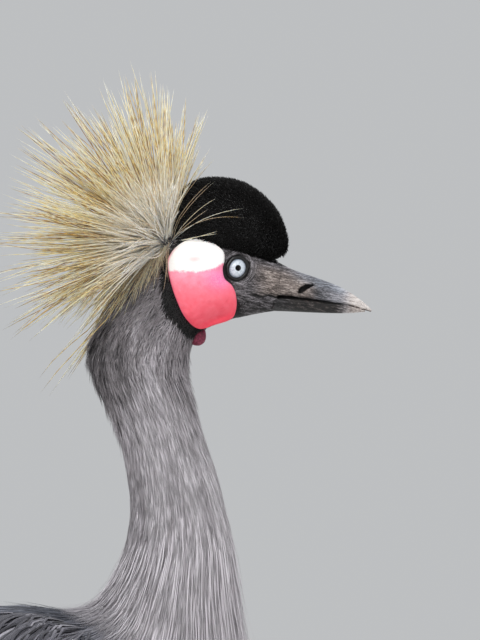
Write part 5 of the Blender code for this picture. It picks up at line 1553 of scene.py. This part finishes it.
def pad(bed, t, turn, inner, outer):
    """A thin closed cushion under rows of feathers."""
    rows, columns = t.shape
    u = np.linspace(0, 1, rows)[:, None]
    v = np.linspace(0, 1, columns)[None]
    rise = np.clip(np.sin(math.pi * u) * np.sin(math.pi * v), 0, 1) ** 0.45
    top = bed.point(t, turn, inner + (outer - inner) * rise)
    under = bed.point(t, turn, np.full(t.shape, inner - 0.0002))
    ring = np.concatenate((top, under[:, ::-1]), axis=1)
    mesh = grid_mesh(ring)
    both = lambda value: spread_over(np.concatenate((value, value[:, ::-1]), axis=1))
    mesh[2].update(u=both(turn / TAU + 0.5), v=both(t / (bed.last + 1)))
    return mesh


def tail():
    """Twelve black feathers in a narrow fan under the drooping flight feathers."""
    draw = np.random.default_rng(8)
    base = BODY.section(np.array(28.0))
    middle = np.array(((base[0] + base[2]) / 2 + EYE_X, 0, (base[1] + base[3]) / 2 + EYE_HEIGHT))
    back = np.array((-math.cos(math.radians(38)), 0, -math.sin(math.radians(38))))
    upright = np.cross((0, 1.0, 0), back)
    meshes = []
    steps, columns = 14, 7
    s = (1 - (1 - np.linspace(0, 1, steps)) ** 1.35)[:, None, None]
    k = np.linspace(-1, 1, columns)[None, :, None]
    for index in range(12):
        share = (index - 5.5) / 5.5
        fan = math.radians(share * 3.5)
        heading = back * math.cos(fan) + np.array((0, 1, 0)) * math.sin(fan)
        across = unit(np.cross(upright, heading))
        level = 0.0064 - 0.0010 * abs(index - 5.3)
        start = middle - back * 0.002 + np.array((0, share * 0.010, 0)) + upright * level
        length = 0.164 - 0.014 * abs(share) + draw.normal(0, 0.0015)
        width = 0.0090 * blade(s)
        arch = 0.0010 * (1 - k**2) + 0.0002 * np.exp(-(k / 0.12) ** 2) - 0.010 * s**2
        top = start + heading * (length * s) + across * (width * k) + upright * arch
        ring = np.concatenate((top, (top - upright * 0.0004)[:, ::-1]), axis=1)
        mesh = grid_mesh(ring)
        both = lambda v: spread_over(np.concatenate((v, v[:, ::-1]), axis=1))
        barb = (length * s - np.abs(k) * width * 1.1)[..., 0] / MM
        flat = np.ones((steps, columns))
        mesh[2].update(barb=both(barb), corner=both(k[..., 0] * flat), along=both(s[..., 0] * flat))
        set_fields(mesh, rand=draw.random(), tone=0.05)
        mesh[2].update(u=0.5 + 0.02 * share + VANE_PATCH_WIDTH * mesh[2]["corner"],
                       v=0.9 + PATCH_LENGTH * mesh[2]["along"])
        meshes.append(mesh)
    root = grid_mesh(np.stack([
        middle + (BODY.point(np.full(28, 28.0), np.linspace(0, TAU, 28, endpoint=False)) - middle) * shrink
        + back * away
        for away, shrink in ((-0.004, 0.8), (0.0, 0.9), (0.02, 0.8), (0.045, 0.45))
    ]))
    set_fields(root, tone=0.05, u=0.5, v=0.98)
    piece("tail_feathers", merge(root, *meshes), BLACK_VANE, ("tail",), 50)


def legs():
    """Scaled shins and feet."""
    material = plain_skin_material("leg_scale", (
        (0.1, (16, 16, 17)), (0.35, (44, 44, 46)), (0.6, (74, 73, 74)),
        (0.9, (112, 110, 108))), 0.5, 0.6, 0.0005, True)
    for side, name in ((LEFT, "left"), (RIGHT, "right")):
        loft = leg_loft(LEG_ROWS, side)
        t, turn = round_grid(np.linspace(0, 10, 300), 48)
        points = loft.point(t, turn)
        normal = loft.frame(t, turn)[2]
        front = smooth(0.15, 0.6, np.cos(turn))
        height = points[..., 2]
        plate = (height / 0.0062) % 1.0
        ridge = (1 - np.abs(2 * plate - 1) ** 4) * 0.00035 * front * smooth(0.315, 0.300, height)
        reticle = 0.00012 * np.sin(height / 0.0011 + 2 * np.sin(turn * 5)) * np.sin(turn * 9) * (1 - front)
        points = points + normal * (ridge + reticle)[..., None]
        piece("leg_skin_" + name, grid_mesh(points), material, ("leg_" + name,))
        hub = np.array((EYE_X + FOOT_X * MM, LEG_LANE * side, 0))
        around = np.linspace(0, TAU, 40, endpoint=False)
        rings = [
            hub + np.stack((0.0085 * k * np.cos(around), 0.0080 * k * np.sin(around), np.full(40, z)),
                           axis=-1)
            for z, k in ((0.0001, 0.9), (0.0006, 1.0), (0.005, 1.05), (0.010, 0.95), (0.0135, 0.88),
                         (FOOT_TOP, 0.84))
        ]
        meshes = [grid_mesh(np.stack(rings))]
        for angle, length in TOES.values():
            angle = math.radians(angle * side)
            heading = np.array((math.cos(angle), math.sin(angle), 0))
            across = np.array((-heading[1], heading[0], 0))
            s, turn = round_grid(np.linspace(0, 1, 90), 28)
            padded = 1 + 0.12 * np.cos(s * TAU * 2)
            plate = (s * length / 0.0035) % 1.0
            scute = 1 + 0.09 * (1 - np.abs(2 * plate - 1) ** 4) * smooth(0.1, 0.6, np.sin(turn))
            wide = (0.0052 - 0.0022 * s) * padded * scute
            tall = (0.0048 - 0.0021 * s) * padded * scute
            end = np.sqrt(np.clip(1 - ((s - 0.93) / 0.075).clip(0) ** 2, 0.05, 1))
            rise = (0.0048 - 0.0021 * s) * padded * 0.72
            points = hub + heading * (length * s)[..., None] + across * (wide * end * np.cos(turn))[..., None]
            points[..., 2] = np.maximum(rise + tall * end * np.sin(turn), 0.0001)
            meshes.append(grid_mesh(points))
        piece("foot_skin_" + name, merge(*meshes), material, ("foot_" + name,))


# Each lamp: name, place from the head, size in metres and power in watts.
LAMPS = (
    ("key", (-0.6, -2.1, 1.8), 1.1, 54.0),
    ("top", (-0.3, 0.5, 2.4), 1.6, 26.0),
    ("side", (2.2, -1.6, 0.6), 1.6, 11.0),
)
# The camera looks level along +Y at the middle of the photo, given in millimetres from the eye.
PHOTO_CENTRE = (1.5, -30.9)
CAMERA_DISTANCE = 3.0
SENSOR_WIDTH, LENS = 36.0, 281.25


def stage_and_light():
    floor_mesh = bpy.data.meshes.new("floor")
    ring = [(8 * math.cos(TAU * k / 96), 8 * math.sin(TAU * k / 96), -0.0002) for k in range(96)]
    floor_mesh.from_pydata(ring, [], [tuple(range(96))])
    floor = bpy.data.objects.new("floor", floor_mesh)
    bpy.context.scene.collection.objects.link(floor)
    ground = Shade("pale_floor", 0.9, 0.1)
    soft = ground.noise(ground.place(0.002, 0.002, 0.002), 1.0, 3.0)
    ground.colour(ground.ramp(soft, (0.3, (222, 222, 220)), (0.7, (228, 228, 226))))
    floor_mesh.materials.append(ground.material)
    world = bpy.data.worlds.new("pale")
    bpy.context.scene.world = world
    world.use_nodes = True
    background = world.node_tree.nodes["Background"]
    background.inputs["Color"].default_value = (0.93, 0.95, 0.97, 1)
    background.inputs["Strength"].default_value = 0.55
    aim = Vector(spot(-30, -40))
    for name, offset, size, power in LAMPS:
        light = bpy.data.lights.new(name, "AREA")
        light.size = size
        light.energy = power
        lamp = bpy.data.objects.new(name, light)
        lamp.location = aim + Vector(offset)
        lamp.rotation_euler = (aim - lamp.location).to_track_quat("-Z", "Y").to_euler()
        bpy.context.scene.collection.objects.link(lamp)
    data = bpy.data.cameras.new("camera")
    data.sensor_width = SENSOR_WIDTH
    data.lens = LENS
    data.clip_end = 200.0
    camera = bpy.data.objects.new("camera", data)
    camera.location = Vector(spot(*PHOTO_CENTRE, -CAMERA_DISTANCE))
    camera.rotation_euler = (math.pi / 2, 0, 0)
    bpy.context.scene.collection.objects.link(camera)
    bpy.context.scene.camera = camera
    bpy.context.scene.view_settings.view_transform = "Standard"


SCAPULAR_VANE = vane_material("slate_plume", (
    (0.0, (22, 22, 25)), (0.35, (62, 62, 69)), (0.6, (102, 101, 109)), (1.0, (176, 174, 182))), 0.6, 0.1)
BLACK_VANE = vane_material("black_vane", (
    (0.0, (10, 10, 12)), (0.3, (26, 26, 30)), (0.7, (52, 52, 58)), (1.0, (92, 92, 98))), 0.5, 0.05)

stage_and_light()
t_grid, turn_grid = round_grid(np.linspace(0, 11, 90), 72)
head_tree = tree_of(grid_mesh(BODY.point(t_grid, turn_grid)))
t_grid, turn_grid = round_grid(np.linspace(0, 10, 60), 60)
cap_tree = tree_of(grid_mesh(CAP.point(t_grid, turn_grid)))
plumage = plumage_material()
body_skin()
eyes()
bill()
cheeks(head_tree)
wattle()
head_and_neck_coat(plumage, cap_tree)
body_coat(plumage)
cap(head_tree)
crest(cap_tree, head_tree, plumage)
wings()
tail()
legs()
claw = plain_skin_material("claw_horn", ((0.2, (20, 19, 19)), (0.5, (44, 41, 40)), (0.8, (78, 73, 70))),
                           0.35, 0.8, 0.0002)
for node_name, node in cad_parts.items():
    if node_name.startswith("claw"):
        node.data.materials.clear()
        node.data.materials.append(claw)
